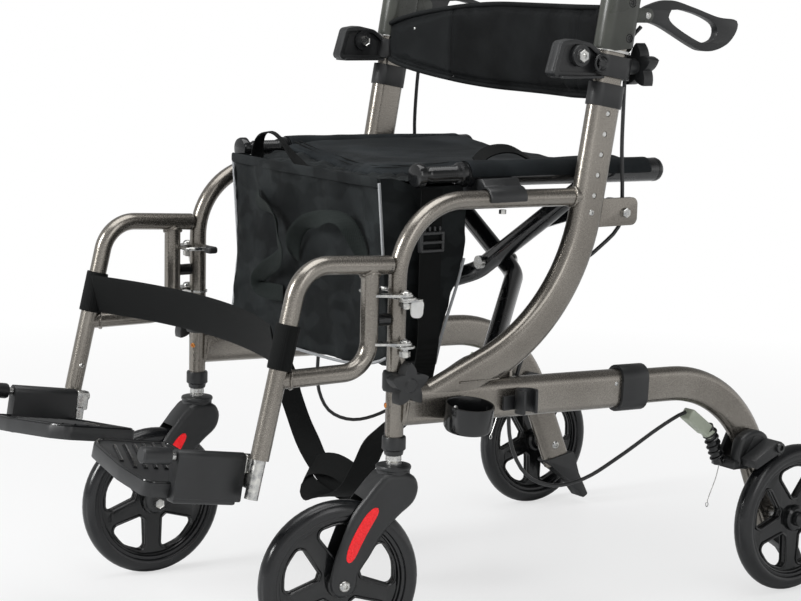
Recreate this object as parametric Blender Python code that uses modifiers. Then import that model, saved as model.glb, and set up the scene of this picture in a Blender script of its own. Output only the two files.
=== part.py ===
"""Folding rollator that also serves as a transport chair.

Two welded side frames stand upright, each with a caster at the front post and a fixed wheel on the rear
leg. A cross brace of two tubes joins them and carries the seat rails, so that the frame folds flat
sideways. Each side has a telescoping handle with a loop brake, and a leg rest that swings away.

Axes: +Z up, -Y is where the seated person faces, +X is that person's left. The model is drawn with the
left caster stem near y = 0 and the floor at z = 0, and the whole is then set back so that the origin lies
under the middle. Only the left half is drawn: the right half is the same meshes, mirrored.
"""

import math

import bmesh
import bpy
from mathutils import Matrix, Vector

MM = 0.001
GAP = 0.3 * MM

# Frame, in the plane of one side
FRAME_X = 232 * MM
STEM_Y = 2 * MM
MIDDLE_Y = 193 * MM
POST_RADIUS = 11 * MM
POST_FOOT_Z = 257 * MM
POST_BEND = 90 * MM
TOP_TUBE_Z = 549 * MM
TOP_TUBE_REAR = (283 * MM, 544 * MM)
STEM_BORE_DEPTH = 90 * MM

LOWER_TUBE_TALL = 50 * MM
LOWER_TUBE_WIDE = 25 * MM
LOWER_TUBE_FRONT = (6 * MM, 308.5 * MM)
LOWER_TUBE_SLOPE = -0.0347
LOWER_TUBE_REAR_Y = 360 * MM
TUBE_WALL = 2 * MM

UPRIGHT_DEEP = 46 * MM
UPRIGHT_WIDE = 24.6 * MM
UPRIGHT_LEAN = math.radians(9.8)
UPRIGHT_FOOT = (50 * MM, 309.3 * MM)
UPRIGHT_CORNER = (261.9 * MM, 394.9 * MM)
UPRIGHT_BEND = 240 * MM
UPRIGHT_TOP_Z = 676 * MM
UPRIGHT_BORE_Z = 516 * MM
HOLE_RADIUS = 3.2 * MM
HOLE_PITCH = 25.4 * MM
TOP_HOLE_Z = UPRIGHT_TOP_Z - 30 * MM
HOLE_COUNT = 5

PLATE_THICK = 8 * MM
PLATE_LOW = (300 * MM, 505 * MM)
PLATE_HIGH = (368 * MM, 540 * MM)

# Leg rest hinge on the post
HINGE_OUT = 22 * MM
HINGE_Y = -1 * MM
HINGE_PIN_RADIUS = 4 * MM
HINGE_PLATE = 3 * MM
HINGE_PLATE_RADIUS = 11 * MM
UPPER_HINGE_Z = 441 * MM
LOWER_HINGE_Z = 384 * MM
PIN_RUNNING = 0.4 * MM

# Cross brace
BRACE_RADIUS = 12.5 * MM
BRACE_APART = 13 * MM
BRACE_Y = 330 * MM
BRACE_PIVOT_Z = 432 * MM
BRACE_BOLT_RADIUS = 5 * MM
BRACE_KNEE = (24 * MM, 417 * MM)
BRACE_HINGE_X = 203 * MM
BRACE_HINGE_Y = 160 * MM
BRACE_HINGE_Z = 333 * MM
BARREL_RADIUS = 10 * MM
BARREL_LONG = 28 * MM
EAR_THICK = 4 * MM
RAIL_X = 200 * MM
RAIL_RADIUS = 15 * MM
RAIL_FRONT = (49 * MM, 575 * MM)
RAIL_REAR = (425 * MM, 570 * MM)
ARM_END = (196 * MM, 555 * MM)

# Fold link, from the upright to the brace arm
LINK_FRAME = (215 * MM, 531 * MM)
LINK_ARM = (84 * MM, 492 * MM)
LINK_THICK = 5 * MM
LINK_WIDE = 16 * MM
LINK_OFF_MIDDLE = 3.3 * MM
LINK_PIN_RADIUS = 3 * MM

# Handle: collar, clamp and housing follow one another up from the top of the upright
HANDLE_WALL_GAP = 0.4 * MM
HANDLE_FOOT_Z = UPRIGHT_BORE_Z + 6 * MM
COLLAR_DEEP = 50 * MM
COLLAR_WIDE = 29 * MM
COLLAR_LOW_Z = UPRIGHT_TOP_Z - 22 * MM
COLLAR_TOP_Z = UPRIGHT_TOP_Z + 6 * MM
CLAMP_DEEP = 58 * MM
CLAMP_WIDE = 35 * MM
CLAMP_LOW_Z = COLLAR_TOP_Z + 8 * MM
CLAMP_TOP_Z = CLAMP_LOW_Z + 26 * MM
HOUSING_DEEP = 54 * MM
HOUSING_WIDE = 32 * MM
HOUSING_TALL = 100 * MM
HOUSING_REACH = 36.3 * MM
HOUSING_LOW_Z = CLAMP_TOP_Z + 6 * MM
HANDLE_CORNER_Z = HOUSING_LOW_Z + HOUSING_TALL
HANDLE_CORNER_Y = UPRIGHT_CORNER[0] + (HANDLE_CORNER_Z - UPRIGHT_CORNER[1]) * math.tan(UPRIGHT_LEAN)
HANDLE_BEND = 34 * MM
HOUSING_END_Y = HANDLE_CORNER_Y + HOUSING_REACH
GRIP_CORE_RADIUS = 11 * MM
GRIP_RADIUS = 17 * MM
GRIP_LONG = 130 * MM
LEVER_PIVOT = (HOUSING_END_Y - 6 * MM, HANDLE_CORNER_Z - 56 * MM)
LEVER_THICK = 12 * MM
LEVER_PIN_RADIUS = 3 * MM
STAR_TIP = 27 * MM
STAR_WAIST = 13 * MM
STAR_THICK = 15 * MM
KNOB_STEM_RADIUS = 5 * MM

# Rear leg, brake and rear wheel
LEG_DEEP = 45.4 * MM
LEG_WIDE = 20.4 * MM
LEG_FRONT_Y = 245 * MM
LEG_CORNER = (547.9 * MM, 289.7 * MM)
LEG_BEND = 170 * MM
LEG_END = (642 * MM, 73 * MM)
LEG_COLLAR_LOW_Y = 345 * MM
LEG_COLLAR_HIGH_Y = 388 * MM
LEG_COLLAR_TALL = 60 * MM
LEG_COLLAR_WIDE = 34 * MM
REAR_AXLE_Y = 630.5 * MM
WHEEL_RADIUS = 100 * MM
WHEEL_OUT = 44.5 * MM
AXLE_RADIUS = 4 * MM
AXLE_HEAD_RADIUS = 7.5 * MM
HUB_WIDE = 29.4 * MM
HUB_RADIUS = 18 * MM
TYRE_WIDE = 27 * MM
RIM_INNER = 76 * MM
RIM_HALF = 9 * MM
WEB_HALF = 6 * MM
WHEEL_SIDES = 20
SPOKE_COUNT = 5
BRAKE_BOLT = (588 * MM, 203 * MM)
SHOE_LONG = 46 * MM
SHOE_HALF = 8 * MM
BRAKE_BOLT_RADIUS = 4 * MM
CABLE_CONNECTOR = (472 * MM, 251 * MM)

# Caster
TRAIL = 67 * MM
LEFT_CASTER_TURN = math.radians(-13)
RIGHT_CASTER_TURN = math.radians(4)
FORK_TOP_Z = 238 * MM
FORK_GAP = 30 * MM
FORK_WALL = 6.5 * MM
FORK_CLEARANCE = 5 * MM
STEM_RADIUS = 8 * MM
BUSHING_RADIUS = 14.3 * MM
BUSHING_LOW_Z = 250 * MM
BUSHING_TOP_Z = 272 * MM
POST_KNOB_Z = 338 * MM

# Leg rest
REST_RADIUS = 11 * MM
REST_REAR_RADIUS = 10.6 * MM
REST_PLATE_HALF = 8 * MM
REST_TOP_REAR = (-9.6 * MM, 476.5 * MM)
REST_TOP_CORNER = (-131.7 * MM, 483 * MM)
REST_TOP_BEND = 45 * MM
REST_END = (-184 * MM, 265 * MM)
REST_REAR_Y = -37 * MM
REST_LOW_Z = 354 * MM
REST_LOW_BEND = 35 * MM
REST_BORE_DEPTH = 110 * MM
BUMPER_Z = 412.5 * MM
BUMPER_RADIUS = 7 * MM

# Footrest
FOOT_TUBE_RADIUS = 8 * MM
FOOT_HINGE = (210 * MM, -190 * MM, 270 * MM)
FOOT_TILT = math.radians(-13.4)
FOOT_ROD_RADIUS = 4 * MM
FOOT_BARREL_RADIUS = 8 * MM
FOOT_BARREL_LONG = 125 * MM
FOOT_PANEL_LONG = 88 * MM
FOOT_PANEL_TALL = 55 * MM
FOOT_PANEL_THICK = 6 * MM
DECK_TOP = 39 * MM
DECK_THICK = 15 * MM
DECK_REACH = 170 * MM
DECK_OUTER_LONG = 146 * MM
DECK_INNER_BACK = 66 * MM
DECK_INNER_FRONT = 118 * MM

# Cup and clip for a cane, on the left lower tube
CUP_RADIUS = 29.5 * MM
CUP_WALL = 2.5 * MM
CUP_LOW_Z = 268 * MM
CUP_TOP_Z = 320 * MM
CUP_Y = 80 * MM
CLIP_Y = 177 * MM
CLIP_LOW_Z = 280 * MM
CLIP_TOP_Z = 317 * MM
CLIP_RADIUS = 14 * MM
CLIP_WALL = 4 * MM

# Soft parts
SEAT_FRONT_Y = 52 * MM
SEAT_REAR_Y = 418 * MM
SEAT_THICK = 20 * MM
SEAT_TOP_OVER_RAIL = 8 * MM
BAG_FRONT_Y = 12 * MM
BAG_TOP_Z = 560.2 * MM
BAG_LOW_Z = 345 * MM
BAG_TOP_DEEP = 118 * MM
BAG_LOW_DEEP = 76 * MM
BAG_HALF = 182 * MM
BAND_HALF = FRAME_X - CLAMP_WIDE / 2 - GAP
BAND_END_Y = 294 * MM
BAND_SAG = 50 * MM
BAND_THICK = 16 * MM
BAND_MIDDLE = (CLAMP_LOW_Z - 29 * MM, CLAMP_TOP_Z + 60 * MM)
BAND_LEFT_END = (CLAMP_LOW_Z - 24 * MM, CLAMP_TOP_Z + 54 * MM)
BAND_RIGHT_END = (CLAMP_LOW_Z + 5 * MM, CLAMP_TOP_Z + 22 * MM)
BAND_STEPS = 12
STRAP_THICK = 3 * MM
STRAP_LOW_Z = 365 * MM
STRAP_TOP_Z = 417 * MM
STRAP_MIDDLE_Y = -118 * MM
STRAP_END_Y = -158 * MM
BELT_WIDE = 25 * MM
BELT_THICK = 2 * MM
BELT_Y = 66 * MM
BELT_TOP = (201 * MM, 558.8 * MM)
BELT_ROUTE = ((201 * MM, 440 * MM), (199 * MM, 360 * MM), (170 * MM, 275 * MM), (105 * MM, 208 * MM),
              (40 * MM, 166 * MM), (0 * MM, 156 * MM), (-32 * MM, 170 * MM), (-75 * MM, 235 * MM),
              (-125 * MM, 292 * MM), (-189 * MM, 335 * MM), (-201 * MM, 400 * MM), (-201 * MM, 470 * MM))
CABLE_RADIUS = 2.5 * MM
CABLE_STEP = 16 * MM
CABLE_START_Y = 352 * MM
# The cable's way from the upright to the brake: how far inside the frame's middle plane, y, z
CABLE_ROUTE = ((9.5 * MM, 349 * MM, 600 * MM), (9 * MM, 352 * MM, 548 * MM), (9 * MM, 350 * MM, 505 * MM),
               (15 * MM, 322 * MM, 476 * MM), (16 * MM, 281 * MM, 450 * MM), (16 * MM, 244 * MM, 410 * MM),
               (16 * MM, 212 * MM, 360 * MM), (16 * MM, 193 * MM, 310 * MM), (16 * MM, 187 * MM, 270 * MM),
               (12 * MM, 192 * MM, 230 * MM), (8 * MM, 214 * MM, 196 * MM), (6 * MM, 255 * MM, 179 * MM),
               (4 * MM, 305 * MM, 183 * MM), (3 * MM, 361 * MM, 205 * MM), (2 * MM, 420 * MM, 233 * MM))

# How a plane sketch is turned into the model: sketch x, sketch y and the thickness go to these axes
SIDE_VIEW = Matrix(((0, 0, 1, 0), (1, 0, 0, 0), (0, 1, 0, 0), (0, 0, 0, 1)))
FRONT_VIEW = Matrix(((1, 0, 0, 0), (0, 0, -1, 0), (0, 1, 0, 0), (0, 0, 0, 1)))
TOP_VIEW = Matrix.Identity(4)
# A turned shape's own axis is Z: these lay it along another axis
ALONG_X = Matrix.Rotation(math.radians(90), 4, "Y")
ALONG_Y = Matrix.Rotation(math.radians(-90), 4, "X")
ALONG_Z = Matrix.Identity(4)


class Pivot:
    """An empty on a joint's axis. Its point is where that axis lies in the drawing."""

    def __init__(self, name, point, parent=None, turn=0.0, mirrored=False):
        self.point = Vector(point)
        self.empty = bpy.data.objects.new(name, None)
        self.empty.empty_display_size = 0.02
        bpy.context.scene.collection.objects.link(self.empty)
        self.empty.location = self.point - (parent.point if parent else Vector())
        self.empty.rotation_euler = (0, 0, turn)
        self.empty.scale = (-1 if mirrored else 1, 1, 1)
        if parent:
            self.empty.parent = parent.empty


def clear_scene():
    for obj in list(bpy.data.objects):
        bpy.data.objects.remove(obj)


def make_material(name, colour, roughness, metallic=0.0):
    material = bpy.data.materials.new(name)
    material.use_nodes = True
    shader = material.node_tree.nodes["Principled BSDF"]
    shader.inputs["Base Color"].default_value = (*colour, 1)
    shader.inputs["Roughness"].default_value = roughness
    shader.inputs["Metallic"].default_value = metallic
    return material


def bake(obj):
    """Turns an object into a plain closed mesh, with its modifiers and its placing worked in."""
    bpy.context.view_layer.update()
    graph = bpy.context.evaluated_depsgraph_get()
    mesh = bpy.data.meshes.new_from_object(obj.evaluated_get(graph))
    mesh.transform(obj.matrix_world)
    work = bmesh.new()
    work.from_mesh(mesh)
    bmesh.ops.remove_doubles(work, verts=work.verts, dist=1e-6)
    bmesh.ops.recalc_face_normals(work, faces=work.faces)
    work.to_mesh(mesh)
    work.free()
    solid = bpy.data.objects.new("solid", mesh)
    bpy.context.scene.collection.objects.link(solid)
    bpy.data.objects.remove(obj)
    return solid


def combine(base, operation, tools):
    """One Boolean after another on the base, each tool used up."""
    for tool in tools:
        modifier = base.modifiers.new(operation.lower(), "BOOLEAN")
        modifier.operation = operation
        modifier.object = tool
        base = bake(base)
        bpy.data.objects.remove(tool)
    return base


def unite(base, *tools):
    return combine(base, "UNION", tools)


def cut(base, *tools):
    return combine(base, "DIFFERENCE", tools)


def rounded(solid, width, segments=2, angle=40):
    bevel = solid.modifiers.new("round edges", "BEVEL")
    bevel.width = width
    bevel.segments = segments
    bevel.limit_method = "ANGLE"
    bevel.angle_limit = math.radians(angle)
    return bake(solid)


def arc_points(centre, radius, start, end, count):
    """Points on an arc of a sketch, with its angles in degrees."""
    angles = [math.radians(start + (end - start) * i / count) for i in range(count + 1)]
    return [(centre[0] + radius * math.cos(a), centre[1] + radius * math.sin(a)) for a in angles]


def bent_path(corners, bends, step=18):
    """The points of a run whose inner corners are bent to the given radii, a point every few degrees."""
    corners = [Vector(corner) for corner in corners]
    path = [corners[0]]
    for before, corner, after, bend in zip(corners, corners[1:], corners[2:], bends):
        back = (before - corner).normalized()
        ahead = (after - corner).normalized()
        turn = math.pi - back.angle(ahead)
        reach = bend * math.tan(turn / 2)
        centre = corner + (back + ahead).normalized() * bend / math.cos(turn / 2)
        start = corner + back * reach - centre
        end = corner + ahead * reach - centre
        axis = start.cross(end).normalized()
        count = max(1, math.ceil(math.degrees(turn) / step))
        path += [centre + Matrix.Rotation(turn * i / count, 3, axis) @ start for i in range(count + 1)]
    return path + [corners[-1]]


def smooth_path(points, step):
    """Points at an even step on a smooth curve through the given ones."""
    points = [Vector(point) for point in points]
    ends = [2 * points[0] - points[1], *points, 2 * points[-1] - points[-2]]
    fine = []
    for a, b, c, d in zip(ends, ends[1:], ends[2:], ends[3:]):
        for i in range(20):
            t = i / 20
            fine.append(0.5 * (2 * b + (c - a) * t + (2 * a - 5 * b + 4 * c - d) * t**2
                               + (3 * b - a - 3 * c + d) * t**3))
    fine.append(points[-1])
    total = sum((b - a).length for a, b in zip(fine, fine[1:]))
    spacing = total / round(total / step)
    path = [fine[0]]
    walked = 0.0
    for a, b in zip(fine, fine[1:]):
        stretch = (b - a).length
        while walked + stretch >= spacing * len(path) - 1e-9:
            path.append(a.lerp(b, (spacing * len(path) - walked) / stretch))
        walked += stretch
    return path


def new_curve(points, dimensions="3D", cyclic=False):
    curve = bpy.data.curves.new("curve", "CURVE")
    curve.dimensions = dimensions
    add_spline(curve, points, cyclic)
    obj = bpy.data.objects.new("curve", curve)
    bpy.context.scene.collection.objects.link(obj)
    return obj


def add_spline(curve, points, cyclic):
    spline = curve.splines.new("POLY")
    spline.points.add(len(points) - 1)
    for place, point in zip(spline.points, points):
        place.co = (*Vector(point).to_3d(), 1)
    spline.use_cyclic_u = cyclic


def round_tube(path, radius, sides=10):
    obj = new_curve(path)
    obj.data.bevel_depth = radius
    obj.data.bevel_resolution = sides // 2 - 2
    obj.data.use_fill_caps = True
    return bake(obj)


def oval_outline(length, width, count=4):
    """A flat oval: two half circles joined by straight sides."""
    half = (length - width) / 2
    right = arc_points((half, 0), width / 2, -90, 90, count)
    left = arc_points((-half, 0), width / 2, 90, 270, count)
    return right + left


def oval_tube(path, deep, wide, x=FRAME_X):
    """A flat-oval bar along a path of the side view, its width across the frame."""
    section = new_curve(oval_outline(deep, wide), "2D", cyclic=True)
    obj = new_curve(path)
    obj.data.twist_mode = "Z_UP"
    obj.data.bevel_mode = "OBJECT"
    obj.data.bevel_object = section
    obj.data.use_fill_caps = True
    obj.matrix_world = Matrix.Translation((x, 0, 0)) @ SIDE_VIEW
    solid = bake(obj)
    bpy.data.objects.remove(section)
    return solid


def plate(outline, thickness, view, offset, holes=()):
    """A flat piece: a sketch, with its holes, given a thickness about the offset along the third axis."""
    obj = new_curve(outline, "2D", cyclic=True)
    for hole in holes:
        add_spline(obj.data, hole, True)
    obj.data.fill_mode = "BOTH"
    obj.data.extrude = thickness / 2
    obj.matrix_world = view @ Matrix.Translation((0, 0, offset))
    return bake(obj)


def side_plate(outline, thickness, x, holes=()):
    return plate(outline, thickness, SIDE_VIEW, x, holes)


def front_plate(outline, thickness, y, holes=()):
    return plate(outline, thickness, FRONT_VIEW, -y, holes)


def rounded_outline(corners, radius, step=30):
    """A closed sketch with all its corners rounded alike."""
    loop = [corners[-1], *corners, corners[0]]
    points = []
    for before, corner, after in zip(loop, loop[1:], loop[2:]):
        corner3 = Vector(corner).to_3d()
        arc = bent_path([Vector(before).to_3d(), corner3, Vector(after).to_3d()], [radius], step)
        points += [point.to_2d() for point in arc[1:-1]]
    return points


def box(low, high):
    """A block between two corners."""
    bpy.ops.mesh.primitive_cube_add(size=1)
    obj = bpy.context.active_object
    low = Vector(low)
    high = Vector(high)
    obj.matrix_world = Matrix.Translation((low + high) / 2) @ Matrix.Diagonal((*(high - low), 1))
    return bake(obj)


def turned(profile, place, sides=24, closed=False):
    """A turned solid: the profile is (radius, height) from top to bottom on the outer side."""
    mesh = bpy.data.meshes.new("profile")
    count = len(profile)
    edges = [(i, i + 1) for i in range(count - 1)]
    if closed:
        edges.append((count - 1, 0))
    mesh.from_pydata([(radius, 0, height) for radius, height in profile], edges, [])
    obj = bpy.data.objects.new("turned", mesh)
    bpy.context.scene.collection.objects.link(obj)
    screw = obj.modifiers.new("turn", "SCREW")
    screw.steps = sides
    screw.render_steps = sides
    screw.use_merge_vertices = True
    screw.merge_threshold = 1e-5
    obj.matrix_world = place
    return bake(obj)


def rod(radius, low, high, direction, centre, sides=12):
    """A round bar along one of the axes, from low to high measured from its centre point."""
    place = Matrix.Translation(centre) @ direction
    profile = [(0, high), (radius, high), (radius, low), (0, low)]
    return turned(profile, place, sides)


def star_outline(tip, waist, lobes=5):
    """A star with blunt lobes."""
    points = []
    for lobe in range(lobes):
        middle = math.tau * lobe / lobes + math.pi / 2
        for turn, radius in ((-0.5, waist), (-0.16, tip * 0.94), (0, tip), (0.16, tip * 0.94)):
            angle = middle + turn * math.tau / lobes
            points.append((radius * math.cos(angle), radius * math.sin(angle)))
    return points


def upright_y(z):
    """Where the middle of the leaning upright lies at a height."""
    return UPRIGHT_CORNER[0] + (z - UPRIGHT_CORNER[1]) * math.tan(UPRIGHT_LEAN)


def on_upright(low_z, high_z, deep, wide):
    """A flat-oval bar that follows the upright between two heights."""
    return oval_tube([(upright_y(low_z), low_z), (upright_y(high_z), high_z)], deep, wide)


def lower_tube_z(y):
    """The height of the lower tube's middle."""
    return LOWER_TUBE_FRONT[1] + (y - LOWER_TUBE_FRONT[0]) * LOWER_TUBE_SLOPE


def rail_z(y):
    """The height of a seat rail's middle."""
    share = (y - RAIL_FRONT[0]) / (RAIL_REAR[0] - RAIL_FRONT[0])
    return RAIL_FRONT[1] + share * (RAIL_REAR[1] - RAIL_FRONT[1])


def side_path(points, x=FRAME_X):
    return [(x, y, z) for y, z in points]


def top_tube_path():
    corners = [(STEM_Y, POST_FOOT_Z), (STEM_Y, TOP_TUBE_Z), TOP_TUBE_REAR]
    return bent_path(side_path(corners), [POST_BEND])


def upright_path():
    top = (upright_y(UPRIGHT_TOP_Z), UPRIGHT_TOP_Z)
    corners = [(*point, 0) for point in (UPRIGHT_FOOT, UPRIGHT_CORNER, top)]
    return bent_path(corners, [UPRIGHT_BEND], step=11)


def post_hinge_ear(z):
    """The post's plate under a leg rest plate, with the upright pin that both turn on."""
    plate_outline = [(x + FRAME_X + HINGE_OUT / 2, y + HINGE_Y) for x, y in
                     oval_outline(HINGE_OUT + 2 * HINGE_PLATE_RADIUS, 2 * HINGE_PLATE_RADIUS)]
    ear = plate(plate_outline, HINGE_PLATE, TOP_VIEW, z - HINGE_PLATE / 2)
    pin_foot = (FRAME_X + HINGE_OUT, HINGE_Y, z)
    pin = rod(HINGE_PIN_RADIUS, -14 * MM, 8 * MM, ALONG_Z, pin_foot, sides=12)
    return unite(ear, pin)


def brace_ears():
    """The two ears inside the lower tube that hold a brace tube's barrel, and their pin."""
    nose = (BRACE_HINGE_X, BRACE_HINGE_Z)
    root_x = FRAME_X - 2 * MM
    outline = [(root_x, nose[1] - 36 * MM), (root_x, nose[1] + BARREL_RADIUS)]
    outline += arc_points(nose, BARREL_RADIUS, 90, 236, 5)
    solids = []
    for side in (-1, 1):
        y = BRACE_HINGE_Y + side * (BARREL_LONG / 2 + GAP + EAR_THICK / 2)
        solids.append(front_plate(outline, EAR_THICK, y))
    reach = BARREL_LONG / 2 + GAP + EAR_THICK / 2
    pin = rod(HINGE_PIN_RADIUS, -reach, reach, ALONG_Y, (nose[0], BRACE_HINGE_Y, nose[1]), sides=12)
    return unite(solids[0], solids[1], pin)


def link_clevis():
    """Two ears on the inner face of the rear plate, with the pin of the fold link."""
    x, z = LINK_FRAME
    root_x = FRAME_X - PLATE_THICK / 4
    outline = [(root_x, z - LINK_WIDE / 2), (root_x, z + LINK_WIDE / 2)]
    outline += arc_points((x, z), LINK_WIDE / 2, 90, 270, 6)
    inside = LINK_OFF_MIDDLE + LINK_THICK / 2 + GAP
    ears = [front_plate(outline, LINK_THICK, BRACE_Y + side * (inside + LINK_THICK / 2)) for side in (-1, 1)]
    pin = rod(LINK_PIN_RADIUS, -inside - LINK_THICK / 2, inside + LINK_THICK / 2, ALONG_Y, (x, BRACE_Y, z), 12)
    return unite(ears[0], ears[1], pin)


def side_frame():
    """The welded side frame: post, top tube, lower tube, upright and what is welded to them."""
    frame = round_tube(top_tube_path(), POST_RADIUS)
    lower_path = [(y, lower_tube_z(y)) for y in (LOWER_TUBE_FRONT[0], LOWER_TUBE_REAR_Y)]
    lower = oval_tube(lower_path, LOWER_TUBE_TALL, LOWER_TUBE_WIDE)
    upright = oval_tube([point.to_2d() for point in upright_path()], UPRIGHT_DEEP, UPRIGHT_WIDE)
    corners = [PLATE_LOW, (PLATE_HIGH[0], PLATE_LOW[1]), PLATE_HIGH, (PLATE_LOW[0], PLATE_HIGH[1])]
    rear_plate = side_plate(rounded_outline(corners, 7 * MM), PLATE_THICK, FRAME_X)
    frame = unite(frame, lower, upright, rear_plate, link_clevis(), brace_ears())
    frame = unite(frame, post_hinge_ear(UPPER_HINGE_Z), post_hinge_ear(LOWER_HINGE_Z))
    handle_bore = on_upright(UPRIGHT_BORE_Z, UPRIGHT_TOP_Z + 5 * MM,
                             UPRIGHT_DEEP - 2 * TUBE_WALL, UPRIGHT_WIDE - 2 * TUBE_WALL)
    leg_path = [(y, lower_tube_z(y)) for y in (LEG_FRONT_Y - 5 * MM, LOWER_TUBE_REAR_Y + 5 * MM)]
    leg_bore = oval_tube(leg_path, LOWER_TUBE_TALL - 2 * TUBE_WALL, LOWER_TUBE_WIDE - 2 * TUBE_WALL)
    stem_bore = rod(STEM_RADIUS + PIN_RUNNING, -10 * MM, STEM_BORE_DEPTH + 2 * MM, ALONG_Z,
                    (FRAME_X, STEM_Y, POST_FOOT_Z))
    frame = cut(frame, handle_bore, leg_bore, stem_bore)
    for i in range(HOLE_COUNT):
        z = TOP_HOLE_Z - i * HOLE_PITCH * math.cos(UPRIGHT_LEAN)
        place = (FRAME_X, upright_y(z), z)
        frame = cut(frame, rod(HOLE_RADIUS, 5 * MM, UPRIGHT_WIDE, ALONG_X, place, sides=6))
    return frame


def upright_collar():
    """The plastic collar on top of the upright, through which the handle tube slides."""
    collar = on_upright(COLLAR_LOW_Z, COLLAR_TOP_Z, COLLAR_DEEP, COLLAR_WIDE)
    socket = on_upright(COLLAR_LOW_Z - 5 * MM, UPRIGHT_TOP_Z + GAP,
                        UPRIGHT_DEEP + 2 * GAP, UPRIGHT_WIDE + 2 * GAP)
    mouth = on_upright(COLLAR_LOW_Z, COLLAR_TOP_Z + 5 * MM,
                       UPRIGHT_DEEP - 2 * TUBE_WALL, UPRIGHT_WIDE - 2 * TUBE_WALL)
    return cut(collar, socket, mouth)


def handle_tube_section():
    inset = 2 * (TUBE_WALL + HANDLE_WALL_GAP)
    return UPRIGHT_DEEP - inset, UPRIGHT_WIDE - inset


def handle_post():
    """The sliding handle tube, with the housing that turns back into the grip's core."""
    deep, wide = handle_tube_section()
    post = on_upright(HANDLE_FOOT_Z, HOUSING_LOW_Z + 10 * MM, deep, wide)
    corners = [(upright_y(HOUSING_LOW_Z), HOUSING_LOW_Z), (HANDLE_CORNER_Y, HANDLE_CORNER_Z),
               (HOUSING_END_Y, HANDLE_CORNER_Z)]
    path = [point.to_2d() for point in bent_path([(*corner, 0) for corner in corners], [HANDLE_BEND], 20)]
    housing = oval_tube(path, HOUSING_DEEP, HOUSING_WIDE)
    core_low = HOUSING_END_Y - 20 * MM
    core_end = HOUSING_END_Y + GRIP_LONG - 6 * MM
    core = rod(GRIP_CORE_RADIUS, core_low, core_end, ALONG_Y, (FRAME_X, 0, HANDLE_CORNER_Z), 12)
    ear_root = LEVER_PIVOT[0] - 26 * MM
    ear_outline = [(ear_root, LEVER_PIVOT[1] + 9 * MM), (ear_root, LEVER_PIVOT[1] - 9 * MM)]
    ear_outline += arc_points(LEVER_PIVOT, 9 * MM, -90, 90, 6)
    ear_thick = 4 * MM
    ear_out = LEVER_THICK / 2 + GAP + ear_thick / 2
    ears = [side_plate(ear_outline, ear_thick, FRAME_X + side * ear_out) for side in (-1, 1)]
    pin = rod(LEVER_PIN_RADIUS, -ear_out, ear_out, ALONG_X, (FRAME_X, *LEVER_PIVOT), 12)
    return unite(post, housing, core, ears[0], ears[1], pin)


def hand_grip():
    """The rubber grip, with a collar at its front and swells along it."""
    front = HOUSING_END_Y + GAP
    length = GRIP_LONG - GAP
    outer = [(GRIP_RADIUS + 2 * MM, 4 * MM), (GRIP_RADIUS + 2 * MM, 0)]
    swells = [(GRIP_RADIUS - 1.2 * MM * (i % 2), length - 8 * MM - i * (length - 16 * MM) / 4) for i in range(5)]
    bore = GRIP_CORE_RADIUS + GAP
    blind = length - 5 * MM
    profile = [(0, length), (GRIP_RADIUS - 5 * MM, length), *swells, *outer, (bore, 0), (bore, blind), (0, blind)]
    return turned(profile, Matrix.Translation((FRAME_X, front, HANDLE_CORNER_Z)) @ ALONG_Y, 12)


def brake_lever():
    """The loop brake lever under the grip."""
    y, z = LEVER_PIVOT
    outer = rounded_outline([(y - 7 * MM, z + 4 * MM), (y + 22 * MM, z + 18 * MM), (y + 134 * MM, z - 4 * MM),
                             (y + 148 * MM, z - 10 * MM), (y + 128 * MM, z - 38 * MM), (y + 98 * MM, z - 47 * MM),
                             (y + 72 * MM, z - 43 * MM), (y + 2 * MM, z - 10 * MM)], 6 * MM, 45)
    window = rounded_outline([(y + 22 * MM, z + 9 * MM), (y + 110 * MM, z - 8 * MM), (y + 114 * MM, z - 24 * MM),
                              (y + 96 * MM, z - 37 * MM), (y + 76 * MM, z - 34 * MM), (y + 20 * MM, z - 9 * MM)],
                             5 * MM, 45)
    hole = arc_points(LEVER_PIVOT, LEVER_PIN_RADIUS + GAP, 0, 330, 11)
    return side_plate(outer, LEVER_THICK, FRAME_X, [window, hole])


def backrest_clamp():
    """The clamp round the handle tube, with the arm that holds the end of the backrest band."""
    deep, wide = handle_tube_section()
    ring = on_upright(CLAMP_LOW_Z, CLAMP_TOP_Z, CLAMP_DEEP, CLAMP_WIDE)
    front_y = upright_y(CLAMP_LOW_Z) - 96 * MM
    root_y = upright_y(CLAMP_LOW_Z) - CLAMP_DEEP / 2 + 8 * MM
    arm_outline = rounded_outline([(front_y, CLAMP_LOW_Z + 3 * MM), (root_y, CLAMP_LOW_Z),
                                   (root_y, CLAMP_TOP_Z), (front_y + 50 * MM, CLAMP_TOP_Z + 18 * MM),
                                   (front_y + 24 * MM, CLAMP_TOP_Z + 18 * MM)], 4 * MM, 45)
    arm = side_plate(arm_outline, 16 * MM, FRAME_X)
    boss_z = (CLAMP_LOW_Z + CLAMP_TOP_Z) / 2
    rear_y = upright_y(boss_z) + CLAMP_DEEP / 2
    boss = rod(10 * MM, -8 * MM, 12 * MM, ALONG_Y, (FRAME_X, rear_y, boss_z), 12)
    screw_boss = rod(11 * MM, 0, 14 * MM, ALONG_X, (FRAME_X, front_y + 38 * MM, CLAMP_TOP_Z), 12)
    solid = unite(ring, arm, boss, screw_boss)
    bore = on_upright(CLAMP_LOW_Z - 5 * MM, CLAMP_TOP_Z + 5 * MM,
                      deep + 2 * HANDLE_WALL_GAP, wide + 2 * HANDLE_WALL_GAP)
    stem_bore = rod(KNOB_STEM_RADIUS + PIN_RUNNING, -2 * MM, 20 * MM, ALONG_Y, (FRAME_X, rear_y, boss_z), 12)
    return cut(solid, bore, stem_bore)


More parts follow.
